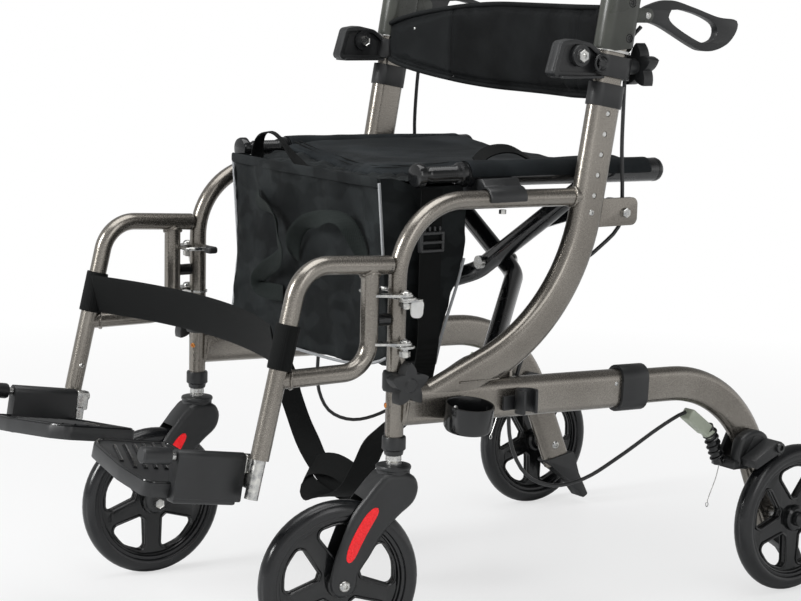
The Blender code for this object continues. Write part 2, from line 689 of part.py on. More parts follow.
def handle_knob():
    """The star knob behind the backrest clamp."""
    boss_z = (CLAMP_LOW_Z + CLAMP_TOP_Z) / 2
    rear_y = upright_y(boss_z) + CLAMP_DEEP / 2
    star_y = rear_y + 12 * MM + GAP + STAR_THICK / 2
    outline = [(x + FRAME_X, z + boss_z) for x, z in star_outline(STAR_TIP, STAR_WAIST)]
    star = front_plate(outline, STAR_THICK, star_y)
    stem = rod(KNOB_STEM_RADIUS, 0, 14 * MM, ALONG_Y, (FRAME_X, rear_y, boss_z), 12)
    return unite(star, stem)


def rear_leg():
    """The flat-oval rear leg, from inside the lower tube down past the rear axle."""
    front = (LEG_FRONT_Y, lower_tube_z(LEG_FRONT_Y))
    path = bent_path([(*corner, 0) for corner in (front, LEG_CORNER, LEG_END)], [LEG_BEND], 12)
    leg = oval_tube([point.to_2d() for point in path], LEG_DEEP, LEG_WIDE)
    bore = rod(AXLE_RADIUS + PIN_RUNNING, -LEG_WIDE, LEG_WIDE, ALONG_X, (FRAME_X, REAR_AXLE_Y, WHEEL_RADIUS), 12)
    return cut(leg, bore)


def leg_collar():
    """The plastic collar where the rear leg leaves the lower tube."""
    path = [(y, lower_tube_z(y)) for y in (LEG_COLLAR_LOW_Y, LEG_COLLAR_HIGH_Y)]
    collar = oval_tube(path, LEG_COLLAR_TALL, LEG_COLLAR_WIDE)
    front = [(y, lower_tube_z(y)) for y in (LEG_COLLAR_LOW_Y - 5 * MM, LOWER_TUBE_REAR_Y + GAP)]
    rear = [(y, lower_tube_z(y)) for y in (LOWER_TUBE_REAR_Y - 5 * MM, LEG_COLLAR_HIGH_Y + 5 * MM)]
    front_bore = oval_tube(front, LOWER_TUBE_TALL + 2 * GAP, LOWER_TUBE_WIDE + 2 * GAP)
    rear_bore = oval_tube(rear, LEG_DEEP + 2 * GAP, LEG_WIDE + 2 * GAP)
    return cut(collar, front_bore, rear_bore)


def wheel(x, y):
    """A wheel moulded in one with its tyre: tyre, rim, web and hub are one turned shape, opened between spokes."""
    place = Matrix.Translation((x, y, WHEEL_RADIUS)) @ ALONG_X
    half = TYRE_WIDE / 2
    hub = HUB_WIDE / 2
    bore = AXLE_RADIUS + PIN_RUNNING
    section = arc_points((WHEEL_RADIUS - half, 0), half, 90, -90, 4)
    section += [(RIM_INNER, -RIM_HALF), (RIM_INNER, -WEB_HALF), (HUB_RADIUS, -WEB_HALF), (HUB_RADIUS, -hub),
                (bore, -hub), (bore, hub), (HUB_RADIUS, hub), (HUB_RADIUS, WEB_HALF), (RIM_INNER, WEB_HALF),
                (RIM_INNER, RIM_HALF)]
    solid = turned(section, place, WHEEL_SIDES, closed=True)
    windows = [plate(spoke_window(math.tau * (i + 0.5) / SPOKE_COUNT), 4 * WEB_HALF, place, 0)
               for i in range(SPOKE_COUNT)]
    return cut(solid, *windows)


def spoke_window(angle):
    """The opening between two spokes: narrow at the hub, wide and rounded at the rim."""
    spread = math.pi / SPOKE_COUNT
    corners = []
    for radius, share in ((RIM_INNER - 5 * MM, -0.72), (RIM_INNER - 4 * MM, 0), (RIM_INNER - 5 * MM, 0.72),
                          (HUB_RADIUS + 12 * MM, 0.30), (HUB_RADIUS + 12 * MM, -0.30)):
        turn = angle + share * spread
        corners.append((radius * math.cos(turn), radius * math.sin(turn)))
    return rounded_outline(corners, 4 * MM, 90)


def rear_axle():
    """The bolt through the leg, its spacer, the wheel and the end nut."""
    leg_half = LEG_WIDE / 2
    hub_in = WHEEL_OUT - HUB_WIDE / 2
    hub_out = WHEEL_OUT + HUB_WIDE / 2
    profile = [(0, hub_out + 6 * MM), (AXLE_HEAD_RADIUS, hub_out + 6 * MM),
               (AXLE_HEAD_RADIUS, hub_out + GAP), (AXLE_RADIUS, hub_out + GAP),
               (AXLE_RADIUS, hub_in - GAP), (AXLE_HEAD_RADIUS + 2 * MM, hub_in - GAP),
               (AXLE_HEAD_RADIUS + 2 * MM, leg_half + GAP), (AXLE_RADIUS, leg_half + GAP),
               (AXLE_RADIUS, -leg_half - GAP), (AXLE_HEAD_RADIUS, -leg_half - GAP),
               (AXLE_HEAD_RADIUS, -leg_half - 5 * MM), (0, -leg_half - 5 * MM)]
    return turned(profile, Matrix.Translation((FRAME_X, REAR_AXLE_Y, WHEEL_RADIUS)) @ ALONG_X, 10)


def brake_bracket():
    """The brake housing clamped on the leg: its arm reaches out over the wheel, its barrel takes the cable."""
    y, z = BRAKE_BOLT
    outer_x = FRAME_X + LEG_WIDE / 2
    body_outline = rounded_outline([(y - 44 * MM, z - 26 * MM), (y - 22 * MM, z - 34 * MM), (y + 8 * MM, z - 12 * MM),
                                    (y + 13 * MM, z + 4 * MM), (y + 2 * MM, z + 14 * MM), (y - 22 * MM, z + 19 * MM)],
                                   5 * MM, 90)
    body = side_plate(body_outline, 18 * MM, outer_x + GAP + 9 * MM)
    inner = side_plate(body_outline, 6 * MM, FRAME_X - LEG_WIDE / 2 - GAP - 3 * MM)
    boot_low = Vector((FRAME_X, 535 * MM, 178 * MM))
    boot_high = Vector((FRAME_X, 511 * MM, 230 * MM))
    boot = round_tube([boot_low, boot_high], 11 * MM)
    connector = round_tube([Vector((FRAME_X, 514 * MM, 220 * MM)), Vector((FRAME_X, *CABLE_CONNECTOR))], 10 * MM)
    bridge = box((FRAME_X - LEG_WIDE / 2 - GAP - 6 * MM, y - 58 * MM, z - 31 * MM),
                 (outer_x + GAP + 18 * MM, y - 30 * MM, z - 20 * MM))
    leg_path = bent_path([(*corner, 0) for corner in ((LEG_FRONT_Y, lower_tube_z(LEG_FRONT_Y)), LEG_CORNER, LEG_END)],
                         [LEG_BEND], 12)
    leg_space = oval_tube([point.to_2d() for point in leg_path], LEG_DEEP + 2 * GAP, LEG_WIDE + 2 * GAP)
    bolt = rod(BRAKE_BOLT_RADIUS, 10 * MM, WHEEL_OUT + TYRE_WIDE / 2 + 2 * MM, ALONG_X, (FRAME_X, y, z), 12)
    return cut(unite(body, inner, bridge, boot, connector, bolt), leg_space)


def brake_shoe():
    """The arm on the brake bolt whose face presses on the tyre."""
    y, z = BRAKE_BOLT
    low_x = FRAME_X + WHEEL_OUT - TYRE_WIDE / 2 + 2 * MM
    high_x = FRAME_X + WHEEL_OUT + TYRE_WIDE / 2
    away = Vector((y - REAR_AXLE_Y, z - WHEEL_RADIUS)).normalized()
    along = Vector((-away.y, away.x))
    centre = Vector((y, z))
    end = centre + along * SHOE_LONG
    start_angle = math.degrees(math.atan2(away.y, away.x))
    outline = arc_points(centre, SHOE_HALF, start_angle - 180, start_angle, 6)
    outline += [end + away * (SHOE_HALF - 4 * MM), end - away * SHOE_HALF]
    hole = arc_points(centre, BRAKE_BOLT_RADIUS + GAP, 0, 330, 11)
    return side_plate(outline, high_x - low_x, (low_x + high_x) / 2, [hole])


def tip_pedal():
    """The plastic end on the foot of the leg, drawn out behind into a pedal for tipping over kerbs."""
    y, z = LEG_END
    outline = rounded_outline([(y - 30 * MM, z + 4 * MM), (y - 8 * MM, z - 14 * MM), (y + 22 * MM, z - 34 * MM),
                               (y + 46 * MM, z - 63 * MM), (y + 56 * MM, z - 58 * MM), (y + 36 * MM, z - 22 * MM),
                               (y + 24 * MM, z + 14 * MM)], 3 * MM, 45)
    pedal = side_plate(outline, LEG_WIDE + 6 * MM, FRAME_X)
    path = bent_path([(*corner, 0) for corner in ((LEG_FRONT_Y, lower_tube_z(LEG_FRONT_Y)), LEG_CORNER, LEG_END)],
                     [LEG_BEND], 12)
    leg_space = oval_tube([point.to_2d() for point in path], LEG_DEEP + 2 * GAP, LEG_WIDE + 2 * GAP)
    end_space = Vector(LEG_END) + (Vector(LEG_END) - Vector(LEG_CORNER)).normalized() * GAP
    more_space = oval_tube([Vector(LEG_END) - (end_space - Vector(LEG_END)) * 9, end_space],
                           LEG_DEEP + 2 * GAP, LEG_WIDE + 2 * GAP)
    return cut(pedal, leg_space, more_space)


def caster_bushing():
    """The black bushing at the foot of the post, bored for the stem."""
    bore = STEM_RADIUS + PIN_RUNNING
    post = POST_RADIUS + 2 * GAP
    shelf = POST_FOOT_Z - GAP
    profile = [(BUSHING_RADIUS, BUSHING_TOP_Z),
               (BUSHING_RADIUS, BUSHING_LOW_Z + 6 * MM), (POST_RADIUS + 1 * MM, BUSHING_LOW_Z + 5 * MM),
               (POST_RADIUS, BUSHING_LOW_Z), (bore, BUSHING_LOW_Z), (bore, shelf), (post, shelf),
               (post, BUSHING_TOP_Z)]
    return turned(profile, Matrix.Translation((FRAME_X, STEM_Y, 0)), 16, closed=True)


def caster_fork():
    """The moulded fork with its stem: one block over the wheel, opened by the wheel's own space."""
    axle_y = STEM_Y - TRAIL
    crown_z = FORK_TOP_Z - 8 * MM
    outline = [(STEM_Y + 25 * MM, crown_z), (STEM_Y - 25 * MM, crown_z)]
    outline += [(STEM_Y - 34 * MM, crown_z - 16 * MM), (axle_y - 16 * MM, WHEEL_RADIUS + 12 * MM)]
    outline += arc_points((axle_y, WHEEL_RADIUS), 15 * MM, 150, 330, 5)
    outline += [(STEM_Y + 6 * MM, crown_z - 62 * MM), (STEM_Y + 22 * MM, crown_z - 26 * MM)]
    wide = FORK_GAP + 2 * FORK_WALL
    block = side_plate(outline, wide, FRAME_X)
    wheel_space = rod(WHEEL_RADIUS + FORK_CLEARANCE, -FORK_GAP / 2, FORK_GAP / 2, ALONG_X,
                      (FRAME_X, axle_y, WHEEL_RADIUS), WHEEL_SIDES)
    block = cut(block, wheel_space)
    stem_top = POST_FOOT_Z + STEM_BORE_DEPTH - 4 * MM
    stem = turned([(0, stem_top), (STEM_RADIUS, stem_top), (STEM_RADIUS, BUSHING_LOW_Z - GAP),
                   (9.5 * MM, BUSHING_LOW_Z - GAP), (9.5 * MM, FORK_TOP_Z), (19 * MM, FORK_TOP_Z),
                   (20.5 * MM, FORK_TOP_Z - 3 * MM), (20.5 * MM, crown_z - 6 * MM), (0, crown_z - 6 * MM)],
                  Matrix.Translation((FRAME_X, STEM_Y, 0)), 12)
    half = wide / 2
    axle = turned([(0, half + 5 * MM), (AXLE_HEAD_RADIUS, half + 5 * MM), (AXLE_HEAD_RADIUS, half - 1 * MM),
                   (AXLE_RADIUS, half - 1 * MM), (AXLE_RADIUS, -half + 1 * MM), (AXLE_HEAD_RADIUS, -half + 1 * MM),
                   (AXLE_HEAD_RADIUS, -half - 5 * MM), (0, -half - 5 * MM)],
                  Matrix.Translation((FRAME_X, axle_y, WHEEL_RADIUS)) @ ALONG_X, 10)
    return unite(block, stem, axle)


def post_knob():
    """The star knob on the outer side of the post, on a band that goes round the post."""
    star_x = FRAME_X + POST_RADIUS + 6 * MM + STAR_THICK / 2
    outline = [(y + STEM_Y, z + POST_KNOB_Z) for y, z in star_outline(STAR_TIP, STAR_WAIST)]
    star = side_plate(outline, STAR_THICK, star_x)
    stem = rod(KNOB_STEM_RADIUS, POST_RADIUS + GAP, POST_RADIUS + 8 * MM, ALONG_X,
               (FRAME_X, STEM_Y, POST_KNOB_Z), 12)
    return unite(star, stem)


def rest_hinge_plate(z):
    """A leg rest plate, from the rear tube to the pin, lying on the post's plate."""
    pin = Vector((FRAME_X + HINGE_OUT, HINGE_Y))
    tube = Vector((FRAME_X, REST_REAR_Y))
    along = (pin - tube).normalized()
    side = Vector((-along.y, along.x)) * REST_PLATE_HALF
    turn = math.degrees(math.atan2(along.y, along.x))
    outline = [tube + side, tube - side]
    outline += arc_points(pin, REST_PLATE_HALF, turn - 90, turn + 90, 5)
    hole = arc_points(pin, HINGE_PIN_RADIUS + PIN_RUNNING, 0, 330, 11)
    return plate(outline, HINGE_PLATE, TOP_VIEW, z + GAP + HINGE_PLATE / 2, [hole])


def leg_rest():
    """The leg rest's bent tube frame, its hinge plates and its rubber bumper."""
    main = round_tube(bent_path(side_path([REST_TOP_REAR, REST_TOP_CORNER, REST_END]), [REST_TOP_BEND]), REST_RADIUS)
    top_z = REST_TOP_REAR[1] + 2 * MM
    low_join = (REST_TOP_CORNER[0] - 30 * MM, REST_LOW_Z)
    rear = round_tube(bent_path(side_path([(REST_REAR_Y, top_z), (REST_REAR_Y, REST_LOW_Z), low_join]),
                                [REST_LOW_BEND], 15), REST_REAR_RADIUS)
    bumper_end = STEM_Y - POST_RADIUS - GAP
    bumper = rod(BUMPER_RADIUS, REST_REAR_Y, bumper_end, ALONG_Y, (FRAME_X, 0, BUMPER_Z), 12)
    solid = unite(main, rear, rest_hinge_plate(UPPER_HINGE_Z), rest_hinge_plate(LOWER_HINGE_Z), bumper)
    down = foot_tube_direction()
    end = Vector((FRAME_X, *REST_END))
    bore = round_tube([end - down * REST_BORE_DEPTH, end + down * 5 * MM], FOOT_TUBE_RADIUS + PIN_RUNNING, 12)
    return cut(solid, bore)


def foot_tube_direction():
    """Down along the leg rest's front tube."""
    return (Vector((0, *REST_END)) - Vector((0, *REST_TOP_CORNER))).normalized()


def latch_lever():
    """The release lever under the post's upper hinge plate, its tab turned down behind."""
    z = UPPER_HINGE_Z - HINGE_PLATE - GAP
    pin = (FRAME_X + HINGE_OUT, HINGE_Y)
    outline = arc_points(pin, 8 * MM, 180, 360, 6)
    outline += [(pin[0] + 6 * MM, HINGE_Y + 20 * MM), (pin[0] - 4 * MM, HINGE_Y + 20 * MM)]
    hole = arc_points(pin, HINGE_PIN_RADIUS + PIN_RUNNING, 0, 330, 11)
    flat = plate(outline, 2.5 * MM, TOP_VIEW, z - 1.25 * MM, [hole])
    tab_outline = rounded_outline([(HINGE_Y + 6 * MM, z - 1 * MM), (HINGE_Y + 6 * MM, z - 24 * MM),
                                   (HINGE_Y + 22 * MM, z - 24 * MM), (HINGE_Y + 22 * MM, z - 1 * MM)], 3 * MM, 45)
    tab = side_plate(tab_outline, 3 * MM, pin[0] + 4.5 * MM)
    return unite(flat, tab)


def foot_place():
    """The footplate's own axes: the hinge rod runs forward along -Y, the deck hangs below it."""
    return Matrix.Translation(FOOT_HINGE) @ Matrix.Rotation(FOOT_TILT, 4, "X")


def in_foot_axes(solid):
    solid.matrix_world = foot_place()
    return bake(solid)


def footrest_tube():
    """The tube that slides in the leg rest, with the hub and the hinge rod of the footplate."""
    down = foot_tube_direction()
    end = Vector((FRAME_X, *REST_END))
    tube = round_tube([end - down * 95 * MM, end + down * 46 * MM], FOOT_TUBE_RADIUS, 12)
    out = FRAME_X - FOOT_HINGE[0]
    hub = in_foot_axes(box((-8 * MM, -2.5 * MM, -36 * MM), (out + 11 * MM, 17 * MM, -8 * MM)))
    ear = in_foot_axes(box((-8 * MM, -2.5 * MM, -30 * MM), (8 * MM, 17 * MM, 8 * MM)))
    hinge_rod = rod(FOOT_ROD_RADIUS, -FOOT_BARREL_LONG, 5 * MM, ALONG_Y, (0, 0, 0), 12)
    return unite(tube, rounded(unite(hub, ear), 2 * MM, 1), in_foot_axes(hinge_rod))


def footplate():
    """The folding footplate: barrel on the hinge rod, side panel and deck."""
    start = -2.5 * MM - GAP
    barrel = rod(FOOT_BARREL_RADIUS, -FOOT_BARREL_LONG - 2 * MM, start, ALONG_Y, (0, 0, 0), 16)
    panel_low = -FOOT_PANEL_TALL
    panel_outline = rounded_outline([(start, 0), (start, panel_low), (start - FOOT_PANEL_LONG, panel_low),
                                     (start - FOOT_PANEL_LONG, 0)], 2 * MM, 45)
    panel = side_plate(panel_outline, FOOT_PANEL_THICK, 0)
    inner = -DECK_REACH
    deck_outline = rounded_outline([(0, start), (inner, -DECK_INNER_BACK), (inner, -DECK_INNER_FRONT),
                                    (inner * 0.55, -DECK_OUTER_LONG + 2 * MM), (0, -DECK_OUTER_LONG)], 12 * MM, 30)
    deck = plate(deck_outline, DECK_THICK, TOP_VIEW, -DECK_TOP - DECK_THICK / 2)
    solid = unite(barrel, panel, deck)
    solid = cut(solid, rod(FOOT_ROD_RADIUS + PIN_RUNNING, -FOOT_BARREL_LONG - GAP, 5 * MM, ALONG_Y, (0, 0, 0), 12))
    return in_foot_axes(solid)


def saddle_clip():
    """The plastic saddle on the top tube, in which the seat rail rests."""
    low_y = 127 * MM
    high_y = 182 * MM
    middle_y = (low_y + high_y) / 2
    tube_z = TOP_TUBE_Z + (middle_y - POST_BEND) * (TOP_TUBE_REAR[1] - TOP_TUBE_Z) / (TOP_TUBE_REAR[0] - POST_BEND)
    outline = arc_points((FRAME_X, tube_z), POST_RADIUS + 3.5 * MM, -90, 90, 6)
    outline += [(FRAME_X - 6 * MM, rail_z(middle_y) - 3 * MM), (RAIL_X - RAIL_RADIUS, rail_z(middle_y) - 6 * MM),
                (RAIL_X - RAIL_RADIUS + 2 * MM, rail_z(middle_y) - 18 * MM), (RAIL_X - 3 * MM, tube_z - 8 * MM)]
    saddle = front_plate(outline, high_y - low_y, middle_y)
    tube_space = round_tube(top_tube_path(), POST_RADIUS + GAP)
    rail_space = round_tube(rail_path(), RAIL_RADIUS + 2 * GAP, 12)
    return cut(saddle, tube_space, rail_space)


def rail_path(x=RAIL_X):
    return [(x, *RAIL_FRONT), (x, *RAIL_REAR)]


def brace_tube(side):
    """A brace tube with the seat rail welded on top of it. It is drawn from the rail at +X down to the hinge at -X."""
    y = BRACE_Y + side * BRACE_APART
    knee = (-BRACE_KNEE[0], y, BRACE_KNEE[1])
    hinge = (-BRACE_HINGE_X, BRACE_HINGE_Y, BRACE_HINGE_Z)
    top = (ARM_END[0], y, ARM_END[1])
    tube = round_tube(bent_path([top, knee, hinge], [40 * MM], 15), BRACE_RADIUS)
    rail = round_tube(rail_path(), RAIL_RADIUS, 12)
    rear_cap = turned([(0, 9 * MM), (RAIL_RADIUS * 0.6, 7 * MM), (RAIL_RADIUS, 0), (RAIL_RADIUS, -4 * MM), (0, -4 * MM)],
                      Matrix.Translation((RAIL_X, *RAIL_REAR)) @ ALONG_Y, 12)
    barrel = rod(BARREL_RADIUS, -BARREL_LONG / 2, BARREL_LONG / 2, ALONG_Y, hinge, 12)
    ear_space = box((-BRACE_HINGE_X - 30 * MM, BRACE_HINGE_Y - 40 * MM, BRACE_HINGE_Z - 30 * MM),
                    (-BRACE_HINGE_X + 12 * MM, BRACE_HINGE_Y - BARREL_LONG / 2, BRACE_HINGE_Z + 30 * MM))
    ear_space_rear = box((-BRACE_HINGE_X - 30 * MM, BRACE_HINGE_Y + BARREL_LONG / 2, BRACE_HINGE_Z - 30 * MM),
                         (-BRACE_HINGE_X + 12 * MM, BRACE_HINGE_Y + 60 * MM, BRACE_HINGE_Z + 30 * MM))
    end_space = box((-BRACE_HINGE_X - 40 * MM, BRACE_HINGE_Y - 40 * MM, BRACE_HINGE_Z - 40 * MM),
                    (-BRACE_HINGE_X - 2 * MM, BRACE_HINGE_Y + 40 * MM, BRACE_HINGE_Z + 40 * MM))
    tube = cut(tube, ear_space, ear_space_rear, end_space)
    solid = unite(tube, rail, rear_cap, barrel)
    hinge_bore = rod(HINGE_PIN_RADIUS + PIN_RUNNING, -BARREL_LONG, BARREL_LONG, ALONG_Y, hinge, 12)
    pivot_bore = rod(BRACE_BOLT_RADIUS + PIN_RUNNING, -30 * MM, 30 * MM, ALONG_Y, (0, y, BRACE_PIVOT_Z), 12)
    return cut(solid, hinge_bore, pivot_bore)


def brace_pivot_bolt():
    """The bolt on which the two brace tubes cross, with a head and a nut."""
    half = BRACE_APART + BRACE_RADIUS + GAP
    profile = [(0, half + 6 * MM), (9 * MM, half + 6 * MM), (9 * MM, half), (BRACE_BOLT_RADIUS, half),
               (BRACE_BOLT_RADIUS, -half), (9 * MM, -half), (9 * MM, -half - 6 * MM), (0, -half - 6 * MM)]
    return turned(profile, Matrix.Translation((0, BRACE_Y, BRACE_PIVOT_Z)) @ ALONG_Y, 12)


def fold_link(side):
    """The short link from the upright to the brace arm, with its bolt head at the arm."""
    y = BRACE_Y + side * LINK_OFF_MIDDLE
    frame = Vector(LINK_FRAME)
    arm = Vector(LINK_ARM)
    turn = math.degrees(math.atan2(arm.y - frame.y, arm.x - frame.x))
    outline = arc_points(arm, LINK_WIDE / 2, turn - 90, turn + 90, 6)
    outline += arc_points(frame, LINK_WIDE / 2 - 1 * MM, turn + 90, turn + 270, 6)
    hole = arc_points(frame, LINK_PIN_RADIUS + PIN_RUNNING, 0, 330, 11)
    bar = front_plate(outline, LINK_THICK, y, [hole])
    head = rod(5 * MM, 0, LINK_THICK / 2 + 3 * MM, ALONG_Y if side > 0 else ALONG_Y @ Matrix.Rotation(math.pi, 4, "X"),
               (arm.x, y, arm.y), 8)
    return unite(bar, head)


def cane_cup():
    """The cup on the lower tube that takes the foot of a cane."""
    x = FRAME_X + LOWER_TUBE_WIDE / 2 + GAP + CUP_RADIUS
    inner = CUP_RADIUS - CUP_WALL
    floor = CUP_LOW_Z + CUP_WALL
    profile = [(0, floor), (inner - 2 * MM, floor), (inner, CUP_TOP_Z), (CUP_RADIUS, CUP_TOP_Z),
               (CUP_RADIUS - 0.5 * MM, CUP_LOW_Z + 3 * MM), (CUP_RADIUS - 3 * MM, CUP_LOW_Z), (0, CUP_LOW_Z)]
    return turned(profile, Matrix.Translation((x, CUP_Y, 0)), 24)


def cane_clip():
    """The open clip on the lower tube that grips the cane."""
    centre = (FRAME_X + LOWER_TUBE_WIDE / 2 + GAP + 3 * MM + CLIP_RADIUS, CLIP_Y)
    outline = arc_points(centre, CLIP_RADIUS, 50, 310, 12)
    outline += arc_points(centre, CLIP_RADIUS - CLIP_WALL, 310, 50, 12)
    clip = plate(outline, CLIP_TOP_Z - CLIP_LOW_Z, TOP_VIEW, (CLIP_TOP_Z + CLIP_LOW_Z) / 2)
    middle_z = (CLIP_TOP_Z + CLIP_LOW_Z) / 2
    foot_x = FRAME_X + LOWER_TUBE_WIDE / 2 + GAP
    foot = box((foot_x, CLIP_Y - 25 * MM, middle_z - 9 * MM), (foot_x + 4.5 * MM, CLIP_Y + 25 * MM, middle_z + 9 * MM))
    return unite(clip, rounded(foot, 1.5 * MM, 1))


def seat():
    """The seat: a padded panel slung between the rails, crowned and dipped a little in the middle."""
    half = RAIL_X - RAIL_RADIUS - GAP
    top = rail_z((SEAT_FRONT_Y + SEAT_REAR_Y) / 2) + SEAT_TOP_OVER_RAIL
    cage = box((-half, SEAT_FRONT_Y, top - SEAT_THICK), (half, SEAT_REAR_Y, top))
    return rounded(cage, 7 * MM, 3)


def bag():
    """The bag under the front of the seat, deeper at its top."""
    back_top = BAG_FRONT_Y + BAG_TOP_DEEP
    back_low = BAG_FRONT_Y + BAG_LOW_DEEP
    outline = rounded_outline([(BAG_FRONT_Y, BAG_LOW_Z), (back_low, BAG_LOW_Z), (back_top, BAG_TOP_Z),
                               (BAG_FRONT_Y, BAG_TOP_Z)], 10 * MM, 30)
    return side_plate(outline, 2 * BAG_HALF, 0)


def backrest_band():
    """The padded band across the back: it sags rearwards, and is drawn in towards its right end."""
    front = []
    back = []
    top = []
    bottom = []
    for i in range(BAND_STEPS + 1):
        share = 2 * i / BAND_STEPS - 1
        x = BAND_HALF * share
        y = BAND_END_Y + BAND_SAG * (1 - share**2)
        front.append((x, y - BAND_THICK / 2))
        back.append((x, y + BAND_THICK / 2))
        end = BAND_LEFT_END if share > 0 else BAND_RIGHT_END
        full = math.cos(math.pi / 2 * min(abs(share), 0.9999)) ** 0.6
        bottom.append((x, end[0] + (BAND_MIDDLE[0] - end[0]) * full))
        top.append((x, end[1] + (BAND_MIDDLE[1] - end[1]) * full))
    middle_z = (BAND_MIDDLE[0] + BAND_MIDDLE[1]) / 2
    strip = plate(front + back[::-1], BAND_MIDDLE[1] - BAND_MIDDLE[0] + 2 * MM, TOP_VIEW, middle_z)
    outline = front_plate(bottom + top[::-1], 2 * (BAND_SAG + BAND_THICK), BAND_END_Y)
    return combine(strip, "INTERSECT", [outline])


def calf_strap():
    """The strap that hangs between the front tubes of the leg rests and sags back in the middle."""
    end = FRAME_X - REST_RADIUS - GAP
    deep = STRAP_END_Y - STRAP_MIDDLE_Y
    sag = [(end * math.cos(math.pi * i / 10), STRAP_MIDDLE_Y + deep * math.cos(math.pi * i / 10) ** 2)
           for i in range(11)]
    back = [(x, y + STRAP_THICK) for x, y in reversed(sag)]
    return plate(sag + back, STRAP_TOP_Z - STRAP_LOW_Z, TOP_VIEW, (STRAP_LOW_Z + STRAP_TOP_Z) / 2)


def seat_belt():
    """The loose seat belt: from one rail down, under the bag in a slack loop, and up to the other rail."""
    over, top = BELT_TOP
    middle = smooth_path([(x, z, 0) for x, z in ((over, top), *BELT_ROUTE, (-over, top))], 30 * MM)
    left = []
    right = []
    for before, point, after in zip([middle[0], *middle], middle, [*middle[1:], middle[-1]]):
        along = (after - before).normalized()
        across = Vector((-along.y, along.x, 0)) * BELT_THICK / 2
        left.append((point + across).to_2d())
        right.append((point - across).to_2d())
    return front_plate(left + right[::-1], BELT_WIDE, BELT_Y)


def brake_cable():
    """The brake cable: from the housing down inside the frame, out in a slack loop, and to the brake."""
    x = FRAME_X
    connector_y, connector_z = CABLE_CONNECTOR
    route = [(x - 13 * MM, CABLE_START_Y, HOUSING_LOW_Z - 3 * MM), (x - 13 * MM, CABLE_START_Y, CLAMP_LOW_Z),
             (x - 11 * MM, CABLE_START_Y - 2 * MM, COLLAR_LOW_Z - 4 * MM)]
    route += [(x - inward, y, z) for inward, y, z in CABLE_ROUTE]
    route += [(x, connector_y - 18 * MM, connector_z - 3 * MM), (x, connector_y - 2 * MM, connector_z + 1.4 * MM)]
    return round_tube(smooth_path(route, CABLE_STEP), CABLE_RADIUS, 8)


def finish(solid, name, material, pivot, parts):
    """Names a solid, gives it its material and hangs it on its pivot, where it was drawn."""
    parts.objects.link(solid)
    bpy.context.scene.collection.objects.unlink(solid)
    solid.name = name
    solid.data.name = name
    solid.data.materials.append(material)
    solid.data.shade_smooth()
    solid.data.set_sharp_from_angle(angle=math.radians(35))
    hang(solid, pivot)


def hang(obj, pivot):
    obj.parent = pivot.empty
    obj.location = -pivot.point


def finish_pair(solid, name, material, left, right, parts):
    """The left piece and its mirrored twin, which shares the mesh."""
    finish(solid, "left_" + name, material, left, parts)
    twin = bpy.data.objects.new("right_" + name, solid.data)
    parts.objects.link(twin)
    hang(twin, right)


def make_pivots():
    """Every joint's empty, from the left frame across the brace to the right frame."""
    root = Pivot("rollator", (0, 0, 0))
    root.empty.location = (0, -MIDDLE_Y, 0)
    pivots = {"left_frame": Pivot("left_frame_axis", (0, 0, 0), root)}
    hinge = Vector((BRACE_HINGE_X, BRACE_HINGE_Y, BRACE_HINGE_Z))
    pivots["right_rail"] = Pivot("brace_left_hinge", hinge, pivots["left_frame"])
    pivots["left_rail"] = Pivot("brace_centre", (0, BRACE_Y, BRACE_PIVOT_Z), pivots["right_rail"])
    fold = Pivot("brace_right_hinge", (-hinge.x, hinge.y, hinge.z), pivots["left_rail"])
    pivots["right_frame"] = Pivot("right_frame_axis", (0, 0, 0), fold, mirrored=True)
    turns = {"left": LEFT_CASTER_TURN, "right": RIGHT_CASTER_TURN}
    boss_z = (CLAMP_LOW_Z + CLAMP_TOP_Z) / 2
    for side in ("left", "right"):
        def add(name, point, parent, turn=0.0, side=side):
            pivots[f"{side}_{name}"] = Pivot(f"{side}_{name}_axis", point, pivots[f"{side}_{parent}"], turn)

        add("handle", (FRAME_X, upright_y(UPRIGHT_TOP_Z), UPRIGHT_TOP_Z), "frame")
        add("lever", (FRAME_X, *LEVER_PIVOT), "handle")
        add("handle_knob", (FRAME_X, upright_y(boss_z), boss_z), "handle")
        add("shoe", (FRAME_X, *BRAKE_BOLT), "frame")
        add("wheel", (FRAME_X + WHEEL_OUT, REAR_AXLE_Y, WHEEL_RADIUS), "frame")
        add("caster", (FRAME_X, STEM_Y, FORK_TOP_Z), "frame", turns[side])
        add("caster_wheel", (FRAME_X, STEM_Y - TRAIL, WHEEL_RADIUS), "caster")
        add("post_knob", (FRAME_X, STEM_Y, POST_KNOB_Z), "frame")
        add("rest", (FRAME_X + HINGE_OUT, HINGE_Y, UPPER_HINGE_Z), "frame")
        add("latch", (FRAME_X + HINGE_OUT, HINGE_Y, UPPER_HINGE_Z), "frame")
        add("foot", (FRAME_X, *REST_END), "rest")
        add("footplate", FOOT_HINGE, "foot")
        add("link", (LINK_FRAME[0], BRACE_Y, LINK_FRAME[1]), "frame")
    return pivots


